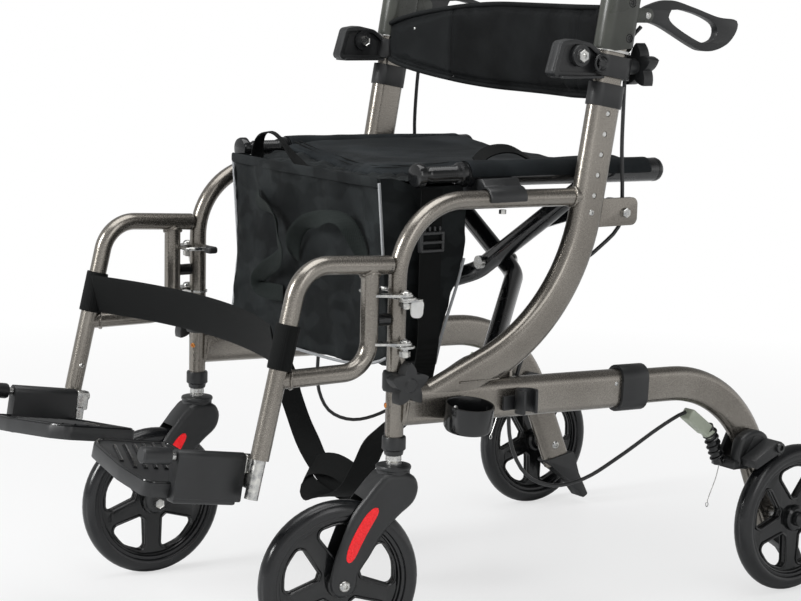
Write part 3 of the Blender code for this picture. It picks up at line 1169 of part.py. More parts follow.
def build():
    clear_scene()
    parts = bpy.data.collections.new("rollator")
    bpy.context.scene.collection.children.link(parts)
    bronze = make_material("bronze_metallic", (0.19, 0.17, 0.15), 0.35, 0.8)
    zinc = make_material("zinc", (0.55, 0.56, 0.57), 0.35, 1.0)
    black = make_material("black_plastic", (0.02, 0.022, 0.024), 0.45)
    black_steel = make_material("black_steel", (0.015, 0.016, 0.018), 0.3, 0.4)
    housing = make_material("graphite_plastic", (0.06, 0.062, 0.056), 0.4)
    rubber = make_material("rubber", (0.015, 0.015, 0.016), 0.6)
    fabric = make_material("black_fabric", (0.025, 0.027, 0.03), 0.8)
    pivots = make_pivots()

    def pair(solid, name, material, pivot):
        finish_pair(solid, name, material, pivots["left_" + pivot], pivots["right_" + pivot], parts)

    def single(solid, name, material, pivot):
        finish(solid, name, material, pivots[pivot], parts)

    pair(side_frame(), "side_frame", bronze, "frame")
    pair(upright_collar(), "upright_collar", housing, "frame")
    pair(handle_post(), "handle_post", housing, "handle")
    pair(hand_grip(), "hand_grip", rubber, "handle")
    pair(brake_lever(), "brake_lever", black, "lever")
    pair(backrest_clamp(), "backrest_clamp", black, "handle")
    pair(handle_knob(), "handle_knob", black, "handle_knob")
    pair(rear_leg(), "rear_leg", bronze, "frame")
    pair(leg_collar(), "leg_collar", black, "frame")
    pair(brake_bracket(), "brake_bracket", black, "frame")
    pair(brake_shoe(), "brake_shoe", black, "shoe")
    pair(tip_pedal(), "tip_pedal", black, "frame")
    pair(wheel(FRAME_X + WHEEL_OUT, REAR_AXLE_Y), "rear_wheel", rubber, "wheel")
    pair(rear_axle(), "rear_axle", zinc, "frame")
    pair(caster_bushing(), "caster_bushing", black, "frame")
    pair(caster_fork(), "caster_fork", black, "caster")
    pair(wheel(FRAME_X, STEM_Y - TRAIL), "caster_wheel", rubber, "caster_wheel")
    pair(post_knob(), "post_knob", black, "post_knob")
    pair(leg_rest(), "leg_rest", bronze, "rest")
    pair(latch_lever(), "latch_lever", zinc, "latch")
    pair(footrest_tube(), "footrest_tube", zinc, "foot")
    pair(footplate(), "footplate", black, "footplate")
    pair(saddle_clip(), "saddle_clip", black, "frame")
    pair(brake_cable(), "brake_cable", black, "frame")
    single(brace_tube(-1), "brace_left_rail", black_steel, "left_rail")
    mirrored = brace_tube(1)
    mirrored.scale.x = -1
    single(bake(mirrored), "brace_right_rail", black_steel, "right_rail")
    single(brace_pivot_bolt(), "brace_pivot_bolt", zinc, "right_rail")
    single(fold_link(1), "left_fold_link", black_steel, "left_link")
    single(fold_link(-1), "right_fold_link", black_steel, "right_link")
    single(cane_cup(), "cane_cup", black, "left_frame")
    single(cane_clip(), "cane_clip", black, "left_frame")
    single(seat(), "seat", fabric, "left_frame")
    single(bag(), "bag", fabric, "left_frame")
    single(backrest_band(), "backrest_band", fabric, "left_handle")
    single(calf_strap(), "calf_strap", fabric, "left_rest")
    single(seat_belt(), "seat_belt", fabric, "left_frame")


build()
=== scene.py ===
"""Looks of the folding rollator: painted tubes, moulded plastics, rubber, zinc and sewn black cloth.

Shapes are drawn in millimetres, as the solids were: +Z up, -Y forwards, the left caster stem near y = 0.
Only the left half is drawn, and placing a pair mirrors it. Placing also turns millimetres into metres and
sets the whole back by MIDDLE, so that the origin lies under the middle.
"""

import math

import bmesh
import bpy
from mathutils import Matrix, Vector, noise


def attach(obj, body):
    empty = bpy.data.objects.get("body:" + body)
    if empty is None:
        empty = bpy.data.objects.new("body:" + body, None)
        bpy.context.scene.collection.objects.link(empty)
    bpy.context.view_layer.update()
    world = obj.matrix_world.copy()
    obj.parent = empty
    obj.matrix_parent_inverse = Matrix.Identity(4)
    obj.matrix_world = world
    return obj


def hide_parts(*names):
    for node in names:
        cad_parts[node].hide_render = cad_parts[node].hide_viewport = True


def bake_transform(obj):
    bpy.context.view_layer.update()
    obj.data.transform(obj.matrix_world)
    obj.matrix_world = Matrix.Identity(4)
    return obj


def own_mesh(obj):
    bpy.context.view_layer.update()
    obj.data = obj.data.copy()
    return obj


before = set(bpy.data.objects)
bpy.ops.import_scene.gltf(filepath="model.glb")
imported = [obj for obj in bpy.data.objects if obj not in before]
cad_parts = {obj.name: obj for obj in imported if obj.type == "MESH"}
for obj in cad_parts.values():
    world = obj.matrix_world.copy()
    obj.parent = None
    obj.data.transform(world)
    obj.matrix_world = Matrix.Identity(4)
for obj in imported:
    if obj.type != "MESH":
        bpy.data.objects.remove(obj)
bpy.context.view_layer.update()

# Where things lie, in millimetres
MIDDLE = 193
FRAME_X = 232
STEM_Y = 2
LEAN = math.radians(9.8)
UPRIGHT_CORNER = (261.9, 394.9)
LEG_CORNER = (547.9, 289.7)
LEG_END = (642, 73)
REAR_AXLE_Y = 630.5
WHEEL_RADIUS = 100
WHEEL_OUT = 44.5
TRAIL = 67
BRAKE_BOLT = (588, 203)
CONNECTOR = (472, 251)
RAIL_X = 200
BRACE_Y = 330
RAIL_Z = 575
RAIL_FRONT_Y = 49
RAIL_REAR = (RAIL_X, 425, 570)
LOWER_TUBE = (50, 25)
TOP_HOLE_Z = 646
HOLE_SPACING = 25.4
BRACE_EAR = (203, 160, 333)
LINK_FOOT = (215, 531)
LINK_TIP = (84, 492)
HANDLE_Z = 822
LEVER_PIVOT = (366, 766)
HINGE_OUT = 22
HINGE_Y = -1
HINGE_HEIGHTS = (441, 384)
POST_KNOB_Z = 338
REST_END = (-184, 265)
REST_CORNER = (-131.7, 483)
FOOT_HINGE = (210, -190, 261)
FOOT_TILT = math.radians(-9)
CASTER_TURN = {"left": math.radians(-13), "right": math.radians(4)}

DRAWN = Matrix.Scale(0.001, 4) @ Matrix.Translation((0, -MIDDLE, 0))
SIDE_VIEW = Matrix(((0, 0, 1, 0), (1, 0, 0, 0), (0, 1, 0, 0), (0, 0, 0, 1)))
FRONT_VIEW = Matrix(((1, 0, 0, 0), (0, 0, -1, 0), (0, 1, 0, 0), (0, 0, 0, 1)))
TOP_VIEW = Matrix.Identity(4)
ALONG_X = Matrix.Rotation(math.radians(90), 4, "Y")
ALONG_Y = Matrix.Rotation(math.radians(-90), 4, "X")
ALONG_Z = Matrix.Identity(4)
BACK_ALONG_X = ALONG_X @ Matrix.Rotation(math.pi, 4, "X")
BACK_ALONG_Y = ALONG_Y @ Matrix.Rotation(math.pi, 4, "X")
STEM = Matrix.Translation((FRAME_X, STEM_Y, 0))


# Finishes


class Value:
    """Something that varies over a surface. Sums written with it become nodes."""

    def __init__(self, finish, socket):
        self.finish = finish
        self.socket = socket

    def maths(self, operation, other, flipped=False):
        ends = [other, self] if flipped else [self, other]
        return self.finish.node("ShaderNodeMath", {"operation": operation}, dict(enumerate(ends)))

    def __add__(self, other):
        return self.maths("ADD", other)

    __radd__ = __add__

    def __sub__(self, other):
        return self.maths("SUBTRACT", other)

    def __rsub__(self, other):
        return self.maths("SUBTRACT", other, flipped=True)

    def __mul__(self, other):
        return self.maths("MULTIPLY", other)

    __rmul__ = __mul__

    def between(self, low, high):
        """0 below low, 1 above high, and an even slope between them."""
        return self.finish.node("ShaderNodeMapRange", {}, {0: self, 1: low, 2: high}, "Result")


class Nodes:
    """The nodes of a material or of the world."""

    def __init__(self, owner):
        owner.use_nodes = True
        self.tree = owner.node_tree

    def node(self, kind, settings, sockets, output=0):
        made = self.tree.nodes.new(kind)
        for name, value in settings.items():
            setattr(made, name, value)
        for name, value in sockets.items():
            self.put(made.inputs[name], value)
        return Value(self, made.outputs[output])

    def rays(self, *kinds):
        """Whether the ray is of each kind."""
        return [self.node("ShaderNodeLightPath", {}, {}, f"Is {kind} Ray") for kind in kinds]

    def put(self, socket, value):
        if isinstance(value, Value):
            self.tree.links.new(value.socket, socket)
        else:
            socket.default_value = value


class Finish(Nodes):
    """A material, with the record's slot that it belongs to."""

    def __init__(self, slot, name, colour, roughness, metallic=0.0, **fixed):
        self.slot = slot
        self.material = bpy.data.materials.new(name)
        super().__init__(self.material)
        self.shader = self.tree.nodes["Principled BSDF"]
        self.feed("Base Color", (*colour, 1))
        self.feed("Roughness", roughness)
        self.feed("Metallic", metallic)
        for socket, value in fixed.items():
            self.feed(socket.replace("_", " ").title().replace("Ior", "IOR"), value)

    def feed(self, socket, value):
        self.put(self.shader.inputs[socket], value)

    def place(self, stretch=(1, 1, 1)):
        """Position on the piece, in metres, stretched along the axes."""
        where = self.node("ShaderNodeTexCoord", {}, {}, "Object")
        return self.node("ShaderNodeMapping", {}, {"Vector": where, "Scale": stretch})

    def noise(self, scale, detail=2, stretch=(1, 1, 1)):
        sockets = {"Vector": self.place(stretch), "Scale": scale, "Detail": detail}
        return self.node("ShaderNodeTexNoise", {}, sockets)

    def waves(self, scale, direction):
        inputs = {"Vector": self.place(), "Scale": scale}
        return self.node("ShaderNodeTexWave", {"bands_direction": direction}, inputs)

    def cells(self, scale, stretch=(1, 1, 1)):
        return self.node("ShaderNodeTexVoronoi", {}, {"Vector": self.place(stretch), "Scale": scale})

    def blend(self, share, first, second):
        sockets = {"Factor": share, 6: (*first, 1), 7: (*second, 1)}
        return self.node("ShaderNodeMix", {"data_type": "RGBA"}, sockets, 2)

    def tint(self, share, first, second):
        self.feed("Base Color", self.blend(share, first, second))

    def bump(self, height, strength, distance):
        sockets = {"Height": height, "Strength": strength, "Distance": distance}
        self.feed("Normal", self.node("ShaderNodeBump", {}, sockets))


def shade(red, green, blue):
    """A colour as it looks on screen, 0 to 255, turned into the light that it gives back."""
    return tuple(((c / 255 + 0.055) / 1.055) ** 2.4 if c > 10 else c / 3294 for c in (red, green, blue))


def mottled(slot, name, patch, colours, gloss, grain=None, metallic=0.0, **fixed):
    """A skin between two colours, in patches that also vary its gloss, with a fine grain.

    The patch is scale, detail, low and high; the gloss is the roughness and what the patches add to it;
    the grain is scale, strength, depth and stretch.
    """
    finish = Finish(slot, name, colours[0], gloss[0], metallic, **fixed)
    scale, detail, low, high = patch
    share = finish.noise(scale, detail).between(low, high)
    finish.tint(share, *colours)
    finish.feed("Roughness", gloss[0] + share * gloss[1])
    if grain:
        scale, strength, depth, stretch = grain
        finish.bump(finish.noise(scale, 2, stretch), strength, depth)
    return finish


def painted_bronze():
    """Bronze metallic paint: fine bright flakes under a clear gloss."""
    finish = Finish("bronze", "bronze_metallic_paint", shade(124, 119, 110), 0.3, 0.85,
                    coat_weight=0.4, coat_roughness=0.06)
    flakes = finish.cells(1500).between(0.15, 0.8)
    cloud = finish.noise(9, 3).between(0.35, 0.65)
    finish.tint(flakes * 0.75 + cloud * 0.25, shade(98, 92, 85), shade(160, 155, 147))
    finish.feed("Roughness", 0.19 + flakes * 0.12)
    finish.bump(finish.noise(1100, 2) * 0.6 + finish.noise(180, 2) * 0.4, 0.1, 0.0005)
    return finish


def moulded(slot, name, colour, roughness, grain=900):
    """Injection-moulded plastic: a fine spark grain, and a faint wear of gloss."""
    pale = tuple(min(1.0, c * 1.35 + 0.002) for c in colour)
    finish = mottled(slot, name, (28, 3, 0.35, 0.7), (colour, pale), (roughness - 0.05, 0.1))
    finish.bump(finish.cells(grain), 0.12, 0.0003)
    return finish


def ribbed_rubber():
    finish = Finish("grip", "grip_rubber", shade(34, 34, 35), 0.62)
    finish.feed("Roughness", 0.55 + finish.noise(80, 3) * 0.15)
    finish.bump(finish.waves(120, "Y") * 0.8 + finish.cells(1400) * 0.2, 0.4, 0.0006)
    return finish


def woven_cloth(name, colour, pale, pitch, crumple, patch=0.0, end=None):
    """Black woven nylon or polyester: crossed threads and slight crumples, with a painted sheen: the raised
    crumples, and scattered spots as far as the patch asks, are painted paler and made glossier.

    On the right of the end, if there is one, lies a paler cloth.
    """
    finish = Finish("fabric", name, colour, 0.6, sheen_weight=0.01, sheen_roughness=0.4,
                    specular_ior_level=0.1)
    thread = finish.waves(pitch, "DIAGONAL") * 0.5 + finish.waves(pitch, "Z") * 0.5
    folds = finish.noise(13, 4)
    # Painted sheen: the raised parts of the crumples are painted paler, as if lit, and are glossier.
    crest_sheen = folds.between(0.42, 0.68)
    # Painted sheen in scattered spots, as strong as the patch gives, which are also glossier.
    sheen_spots = finish.noise(26, 1, (1, 1, 1.5)).between(0.5, 0.54) * patch
    share = crest_sheen * 0.5 + thread * 0.25 + sheen_spots
    if end is not None:
        across = finish.node("ShaderNodeSeparateXYZ", {}, {0: finish.place()})
        share = share + across.between(end, end - 0.003) * 0.6
    finish.tint(share, colour, pale)
    finish.feed("Roughness", 0.62 - crest_sheen * 0.1 - sheen_spots * 0.25)
    finish.bump(thread * 0.12 + folds * crumple + finish.noise(55, 3) * crumple * 0.3, 0.5, 0.006)
    return finish


def webbing(name, colour, pitch=260):
    """Belt webbing: ribs across the band, which catch the light."""
    finish = Finish("fabric", name, colour, 0.6, sheen_weight=0.01, specular_ior_level=0.08)
    ribs = finish.waves(pitch, "Z") * 0.5 + finish.waves(pitch, "X") * 0.5
    finish.tint(ribs, colour, tuple(c * 1.9 + 0.002 for c in colour))
    finish.bump(ribs, 0.5, 0.0008)
    return finish


def red_reflector():
    """Moulded red reflector: small prisms under a clear face, and a faint painted glow, as if it gave back
    light.
    """
    # The emission is a painted glow: the reflector is no lamp.
    finish = Finish("black_plastic", "red_reflector", shade(236, 22, 34), 0.3, coat_weight=0.15,
                    emission_color=(*shade(240, 8, 20), 1), emission_strength=0.42)
    prisms = finish.cells(420)
    finish.tint(prisms.between(0.1, 0.6), shade(246, 26, 36), shade(196, 4, 14))
    finish.bump(prisms, 0.5, 0.001)
    return finish


BRONZE = painted_bronze()
STEEL = mottled("steel_black", "black_gloss_paint", (60, 4, 0.5, 0.8), (shade(25, 26, 28), shade(40, 41, 43)),
                (0.2, 0.16), (220, 0.08, 0.0006, (1, 1, 1)), coat_weight=0.5)
ZINC = mottled("zinc", "zinc_plated_steel", (160, 3, 0.3, 0.7), (shade(166, 167, 168), shade(216, 215, 210)),
               (0.18, 0.2), (500, 0.12, 0.0004, (1, 1, 6)), metallic=1.0)
PLASTIC = moulded("black_plastic", "black_plastic", shade(33, 34, 35), 0.4)
GLOSSY = moulded("black_plastic", "black_gloss_plastic", shade(22, 23, 24), 0.16, 300)
GRAPHITE = moulded("graphite_plastic", "graphite_plastic", shade(60, 62, 57), 0.3)
PALE = moulded("black_plastic", "pale_connector", shade(170, 177, 161), 0.4)
WHITE = moulded("black_plastic", "white_tag", shade(226, 226, 222), 0.5)
BRASS = mottled("zinc", "brass_button", (700, 3, 0.42, 0.6), (shade(226, 170, 96), shade(196, 96, 48)),
                (0.2, 0.3), metallic=0.9)
TYRE = mottled("tyre", "tyre_rubber", (45, 4, 0.45, 0.75), (shade(23, 24, 26), shade(31, 32, 34)),
               (0.2, 0.1), (700, 0.1, 0.0004, (1, 1, 1)))
GRIP = ribbed_rubber()
SHEATH = moulded("cable", "cable_sheath", shade(30, 31, 32), 0.35, 500)
CLOTH = woven_cloth("black_nylon", shade(22, 25, 27), shade(44, 49, 52), 480, 0.35)
SHINY = woven_cloth("black_bag_nylon", shade(14, 16, 17), shade(46, 50, 51), 480, 0.5, 0.2)
PADDED = woven_cloth("black_pad_cloth", shade(7, 8, 9), shade(30, 32, 33), 290, 0.2, end=-0.11)
WEB = webbing("black_webbing", shade(13, 14, 14))
MESH = webbing("black_mesh_webbing", shade(26, 30, 29), 190)
PIPING = webbing("grey_piping", shade(146, 148, 150))
REFLECTOR = red_reflector()


# Making shapes


def at(place, direction=ALONG_Z):
    """The place of a round piece, and the direction in which it points."""
    return Matrix.Translation(place) @ direction


def pointing(direction, side="Y"):
    return direction.to_track_quat("Z", side).to_matrix().to_4x4()


def turns(count):
    """Angles spread evenly round a circle."""
    return [math.tau * i / count for i in range(count)]


def shifted(points, along, up=0):
    return [(a + along, b + up) for a, b in points]


def both_ways(half):
    """A profile and its mirror image at the other end."""
    return half + [(radius, -height) for radius, height in reversed(half)]


def linked(name, data):
    """A new object, put into the scene."""
    obj = bpy.data.objects.new(name, data)
    bpy.context.scene.collection.objects.link(obj)
    return obj


def bake(obj):
    """The object's shape as it shows, with its modifiers and its place worked in."""
    bpy.context.view_layer.update()
    graph = bpy.context.evaluated_depsgraph_get()
    mesh = bpy.data.meshes.new_from_object(obj.evaluated_get(graph))
    mesh.transform(obj.matrix_world)
    work = bmesh.new()
    work.from_mesh(mesh)
    bmesh.ops.remove_doubles(work, verts=work.verts, dist=1e-4)
    bmesh.ops.recalc_face_normals(work, faces=work.faces)
    work.to_mesh(mesh)
    work.free()
    bpy.data.objects.remove(obj)
    return linked("solid", mesh)


def cut(base, *tools):
    for tool in tools:
        modifier = base.modifiers.new("cut", "BOOLEAN")
        modifier.operation = "DIFFERENCE"
        modifier.object = tool
        base = bake(base)
        bpy.data.objects.remove(tool)
    return base


def merged(*solids):
    """Several solids as one object, each keeping its own skin."""
    work = bmesh.new()
    for solid in solids:
        work.from_mesh(solid.data)
    mesh = bpy.data.meshes.new("solid")
    work.to_mesh(mesh)
    work.free()
    for solid in solids:
        bpy.data.objects.remove(solid)
    return linked("solid", mesh)


def rounded(solid, width, segments=3, angle=35):
    bevel = solid.modifiers.new("round", "BEVEL")
    bevel.width = width
    bevel.segments = segments
    bevel.limit_method = "ANGLE"
    bevel.angle_limit = math.radians(angle)
    return bake(solid)


def subdivided(solid, levels=1):
    smooth = solid.modifiers.new("smooth", "SUBSURF")
    smooth.levels = levels
    smooth.render_levels = levels
    return bake(solid)


def arc_points(centre, radius, start, end, count):
    angles = [math.radians(start + (end - start) * i / count) for i in range(count + 1)]
    return [(centre[0] + radius * math.cos(a), centre[1] + radius * math.sin(a)) for a in angles]


def bent_path(corners, bends, step=5):
    corners = [Vector(corner).to_3d() for corner in corners]
    path = [corners[0]]
    for before, corner, after, bend in zip(corners, corners[1:], corners[2:], bends):
        back = (before - corner).normalized()
        ahead = (after - corner).normalized()
        turn = math.pi - back.angle(ahead)
        reach = bend * math.tan(turn / 2)
        centre = corner + (back + ahead).normalized() * bend / math.cos(turn / 2)
        start = corner + back * reach - centre
        axis = start.cross(corner + ahead * reach - centre).normalized()
        count = max(2, math.ceil(math.degrees(turn) / step))
        path += [centre + Matrix.Rotation(turn * i / count, 3, axis) @ start for i in range(count + 1)]
    return path + [corners[-1]]


def smooth_path(points, step):
    points = [Vector(point).to_3d() for point in points]
    ends = [2 * points[0] - points[1], *points, 2 * points[-1] - points[-2]]
    fine = []
    for a, b, c, d in zip(ends, ends[1:], ends[2:], ends[3:]):
        for i in range(20):
            t = i / 20
            fine.append(0.5 * (2 * b + (c - a) * t + (2 * a - 5 * b + 4 * c - d) * t**2
                               + (3 * b - a - 3 * c + d) * t**3))
    fine.append(points[-1])
    total = sum((b - a).length for a, b in zip(fine, fine[1:]))
    spacing = total / round(total / step)
    path = [fine[0]]
    walked = 0.0
    for a, b in zip(fine, fine[1:]):
        stretch = (b - a).length
        while walked + stretch >= spacing * len(path) - 1e-6:
            path.append(a.lerp(b, (spacing * len(path) - walked) / stretch))
        walked += stretch
    return path


def length_of(path):
    return sum((b - a).length for a, b in zip(path, path[1:]))


def new_curve(points, dimensions="3D", cyclic=False):
    curve = bpy.data.curves.new("curve", "CURVE")
    curve.dimensions = dimensions
    add_spline(curve, points, cyclic)
    return linked("curve", curve)


def add_spline(curve, points, cyclic):
    spline = curve.splines.new("POLY")
    spline.points.add(len(points) - 1)
    for place, point in zip(spline.points, points):
        place.co = (*Vector(point).to_3d(), 1)
    spline.use_cyclic_u = cyclic


def tube(path, radius, sides=24, cyclic=False):
    obj = new_curve(path, cyclic=cyclic)
    obj.data.bevel_depth = radius
    obj.data.bevel_resolution = sides // 2 - 2
    obj.data.use_fill_caps = not cyclic
    return bake(obj)


def oval(length, width, count=10):
    half = (length - width) / 2
    return arc_points((half, 0), width / 2, -90, 90, count) + arc_points((-half, 0), width / 2, 90, 270, count)


def oval_tube(path, deep, wide, x=FRAME_X):
    section = new_curve(oval(deep, wide), "2D", cyclic=True)
    obj = new_curve([Vector(point).to_2d() for point in path])
    obj.data.twist_mode = "Z_UP"
    obj.data.bevel_mode = "OBJECT"
    obj.data.bevel_object = section
    obj.data.use_fill_caps = True
    obj.matrix_world = Matrix.Translation((x, 0, 0)) @ SIDE_VIEW
    solid = bake(obj)
    bpy.data.objects.remove(section)
    return solid


def plate(outline, thickness, view, offset, holes=(), edge=0.0):
    """A flat piece about its offset along the view's third axis, with its edges rounded if asked."""
    obj = new_curve(outline, "2D", cyclic=True)
    for hole in holes:
        add_spline(obj.data, hole, True)
    obj.data.fill_mode = "BOTH"
    obj.data.extrude = thickness / 2
    obj.matrix_world = view @ Matrix.Translation((0, 0, offset))
    solid = bake(obj)
    return rounded(solid, edge, 2, 50) if edge else solid


def side_plate(outline, thickness, x=FRAME_X, holes=(), edge=0.0):
    return plate(outline, thickness, SIDE_VIEW, x, holes, edge)


def front_plate(outline, thickness, y, holes=(), edge=0.0):
    return plate(outline, thickness, FRONT_VIEW, -y, holes, edge)


def rounded_outline(corners, radius, step=15):
    loop = [corners[-1], *corners, corners[0]]
    radii = radius if isinstance(radius, (list, tuple)) else [radius] * len(corners)
    points = []
    for before, corner, after, bend in zip(loop, loop[1:], loop[2:], radii):
        points += [point.to_2d() for point in bent_path([before, corner, after], [bend], step)[1:-1]]
    return points


def smooth_outline(points, step=5):
    """A closed outline that passes smoothly through the points."""
    return [point.to_2d() for point in smooth_path([*points, points[0]], step)[:-1]]


def eased_plate(outline, thickness, ease, x=FRAME_X):
    """A side plate with a smooth outline and broadly rounded edges."""
    count = len(outline)
    middle = sum(outline, Vector((0, 0))) / count
    inwards = []
    for before, after in zip([outline[-1], *outline], [*outline[1:], outline[0]]):
        ahead = (after - before).normalized()
        inwards.append(Vector((-ahead.y, ahead.x)))
    if sum(side.dot(middle - point) for side, point in zip(inwards, outline)) < 0:
        inwards = [-side for side in inwards]
    rows = []
    for side, steps in ((1, (90, 70, 50, 30, 10)), (-1, (10, 30, 50, 70, 90))):
        for turn in steps:
            deep = side * (thickness / 2 - ease + ease * math.sin(math.radians(turn)))
            inset = ease * (1 - math.cos(math.radians(turn)))
            rows.append([Vector((x + deep, *(point + away * inset))) for point, away in zip(outline, inwards)])
    body = skin(rows, closed_v=True)
    work = bmesh.new()
    work.from_mesh(body.data)
    work.verts.ensure_lookup_table()
    for start in (0, (len(rows) - 1) * count):
        work.faces.new([work.verts[start + i] for i in range(count)])
    work.to_mesh(body.data)
    work.free()
    return bake(body)


def block(low, high, edge=0.0, segments=3):
    bpy.ops.mesh.primitive_cube_add(size=1)
    obj = bpy.context.active_object
    low = Vector(low)
    high = Vector(high)
    obj.matrix_world = Matrix.Translation((low + high) / 2) @ Matrix.Diagonal((*(high - low), 1))
    solid = bake(obj)
    return rounded(solid, edge, segments) if edge else solid


def turned(profile, place, sides=40, closed=False):
    mesh = bpy.data.meshes.new("profile")
    edges = [(i, i + 1) for i in range(len(profile) - 1)]
    if closed:
        edges.append((len(profile) - 1, 0))
    mesh.from_pydata([(radius, 0, height) for radius, height in profile], edges, [])
    obj = linked("turned", mesh)
    screw = obj.modifiers.new("turn", "SCREW")
    screw.steps = sides
    screw.render_steps = sides
    screw.use_merge_vertices = True
    screw.merge_threshold = 1e-4
    obj.matrix_world = place
    return bake(obj)


def rod(radius, low, high, direction, centre, sides=24, edge=0.0):
    """A round bar along an axis, its rims eased if asked."""
    ends = ((radius, high), (radius, low))
    if edge:
        ends = ((radius - edge, high), (radius, high - edge), (radius, low + edge), (radius - edge, low))
    return turned([(0, high), *ends, (0, low)], at(centre, direction), sides)


def dome_bolt(radius, height, direction, centre):
    """A domed bolt head with its socket."""
    angles = [math.radians(90) * i / 6 for i in range(7)]
    dome = [(radius * math.sin(a), height * math.cos(a)) for a in angles]
    dome = [(radius * 0.38, height * 0.35), (radius * 0.42, dome[2][1]), *dome[2:]]
    return turned([(0, height * 0.35), *dome, (radius, -0.5), (0, -0.5)], at(centre, direction), 20)


def hex_bolt(radius, height, direction, centre):
    return turned([(0, height), (radius * 0.85, height), (radius, height - 1), (radius, 0), (0, 0)],
                  at(centre, direction), 6)


def star_outline(tip, waist, lobes=5):
    """A star with points and hollow waists."""
    points = []
    for step in range(lobes * 12):
        share = abs(step % 12 / 6 - 1)
        radius = waist + (tip - waist) * share**1.1
        angle = math.tau * step / (12 * lobes) + math.pi / 2
        points.append((radius * math.cos(angle), radius * math.sin(angle)))
    return points


def skin(rows, closed_u=False, closed_v=False):
    """A surface through rows of points."""
    count = len(rows[0])
    faces = []
    for i in range(len(rows) - (0 if closed_u else 1)):
        for j in range(count - (0 if closed_v else 1)):
            a = i * count + j
            b = i * count + (j + 1) % count
            low = ((i + 1) % len(rows)) * count
            faces.append((a, b, low + (j + 1) % count, low + j))
    mesh = bpy.data.meshes.new("skin")
    mesh.from_pydata([point for row in rows for point in row], [], faces)
    return linked("skin", mesh)


def thickened(surface, thickness, offset=0.0):
    solidify = surface.modifiers.new("thickness", "SOLIDIFY")
    solidify.thickness = thickness
    solidify.offset = offset
    return bake(surface)


def ribbon(path, across, width, thickness):
    """A flat band along a path. The across function gives its width direction at each point's share."""
    rows = []
    for i, point in enumerate(path):
        side = Vector(across(i / (len(path) - 1))) * width / 2
        rows.append([point - side, point - side / 3, point + side / 3, point + side])
    return thickened(skin(rows), thickness)


def pad(across, along, surface):
    """A stuffed form: surface gives the point on the face (1) or the back (-1) at u and v from -1 to 1."""
    us = [math.sin(math.pi / 2 * (2 * i / across - 1)) for i in range(across + 1)]
    vs = [math.sin(math.pi / 2 * (2 * j / along - 1)) for j in range(along + 1)]
    rows = []
    for u in us:
        face = [surface(u, v, 1) for v in vs]
        back = [surface(u, v, -1) for v in reversed(vs)]
        rows.append(face + back)
    body = skin(rows, closed_v=True)
    work = bmesh.new()
    work.from_mesh(body.data)
    work.verts.ensure_lookup_table()
    size = 2 * (along + 1)
    for start in (0, across * size):
        for j in range(along):
            work.faces.new([work.verts[start + k] for k in (j, j + 1, size - 2 - j, size - 1 - j)])
    work.to_mesh(body.data)
    work.free()
    return bake(body)


def pushed(solid, rule):
    """Moves each point along its normal by what the rule gives for its place."""
    vertices = solid.data.vertices
    shifts = [vertex.normal * rule(vertex.co) for vertex in vertices]
    for vertex, shift in zip(vertices, shifts):
        vertex.co += shift
    return solid


def crumple(solid, depth, size, seed=0.0, stretch=(1, 1, 1)):
    """Small smooth waves over a soft form."""
    def wave(place):
        spot = Vector([c * s / size + seed for c, s in zip(place, stretch)])
        return depth * noise.noise(spot)

    return pushed(solid, wave)


def stuffed(solid, pressure, cap, voxel=5):
    """Cloth blown up as stuffing does it. No point moves further than the cap, in millimetres."""
    solid.data.transform(Matrix.Scale(0.001, 4))
    remesh = solid.modifiers.new("remesh", "REMESH")
    remesh.mode = "VOXEL"
    remesh.voxel_size = voxel / 1000
    solid = bake(solid)
    cloth = solid.modifiers.new("stuffing", "CLOTH")
    cloth.settings.use_pressure = True
    cloth.settings.uniform_pressure_force = pressure
    cloth.settings.effector_weights.gravity = 0
    for frame_number in range(1, 21):
        bpy.context.scene.frame_set(frame_number)
    graph = bpy.context.evaluated_depsgraph_get()
    blown = [vertex.co.copy() for vertex in solid.evaluated_get(graph).data.vertices]
    solid.modifiers.clear()
    bpy.context.scene.frame_set(1)
    for vertex, place in zip(solid.data.vertices, blown):
        move = place - vertex.co
        vertex.co += move * min(1, cap / 1000 / max(move.length, 1e-9))
    solid.data.transform(Matrix.Scale(1000, 4))
    return subdivided(solid)


def share_between(value, low, high):
    """0 up to low, 1 from high on, and a smooth slope between them."""
    share = min(1, max(0, (value - low) / (high - low)))
    return share * share * (3 - 2 * share)


def along_profile(profile, value):
    """A value read off a profile of (place, value) pairs in rising order."""
    for (a, first), (b, second) in zip(profile, profile[1:]):
        if value <= b:
            break
    return first + (second - first) * min(1, max(0, (value - a) / (b - a)))


# Placing pieces


def settle(solid, name, finish, body, node=None, sharp=35):
    solid.name = name
    solid.data.name = name
    solid.data.transform(DRAWN)
    solid.data.materials.clear()
    solid.data.materials.append(finish.material)
    solid.data.shade_smooth()
    solid.data.set_sharp_from_angle(angle=math.radians(sharp))
    if body:
        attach(solid, body)
    if node:
        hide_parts(node)
    return solid


def mirrored(solid):
    mesh = solid.data.copy()
    mesh.transform(Matrix.Diagonal((-1, 1, 1, 1)))
    mesh.flip_normals()
    return linked("twin", mesh)


def pair(solid, name, finish, body, node=None, sharp=35, turn=None):
    """The left piece and its mirrored twin, on the left and the right body."""
    twin = mirrored(solid)
    pieces = []
    for side, piece in (("left", solid), ("right", twin)):
        if turn:
            stem = Vector((FRAME_X if side == "left" else -FRAME_X, STEM_Y, 0))
            angle = turn[side] if side == "left" else -turn[side]
            piece.data.transform(at(stem, Matrix.Rotation(angle, 4, "Z")) @ at(-stem))
        replaced = f"{side}_{node}" if node else None
        pieces.append(settle(piece, f"{side}_{name}", finish, f"{side}_{body}", replaced, sharp))
    return pieces


# Lines that several pieces follow


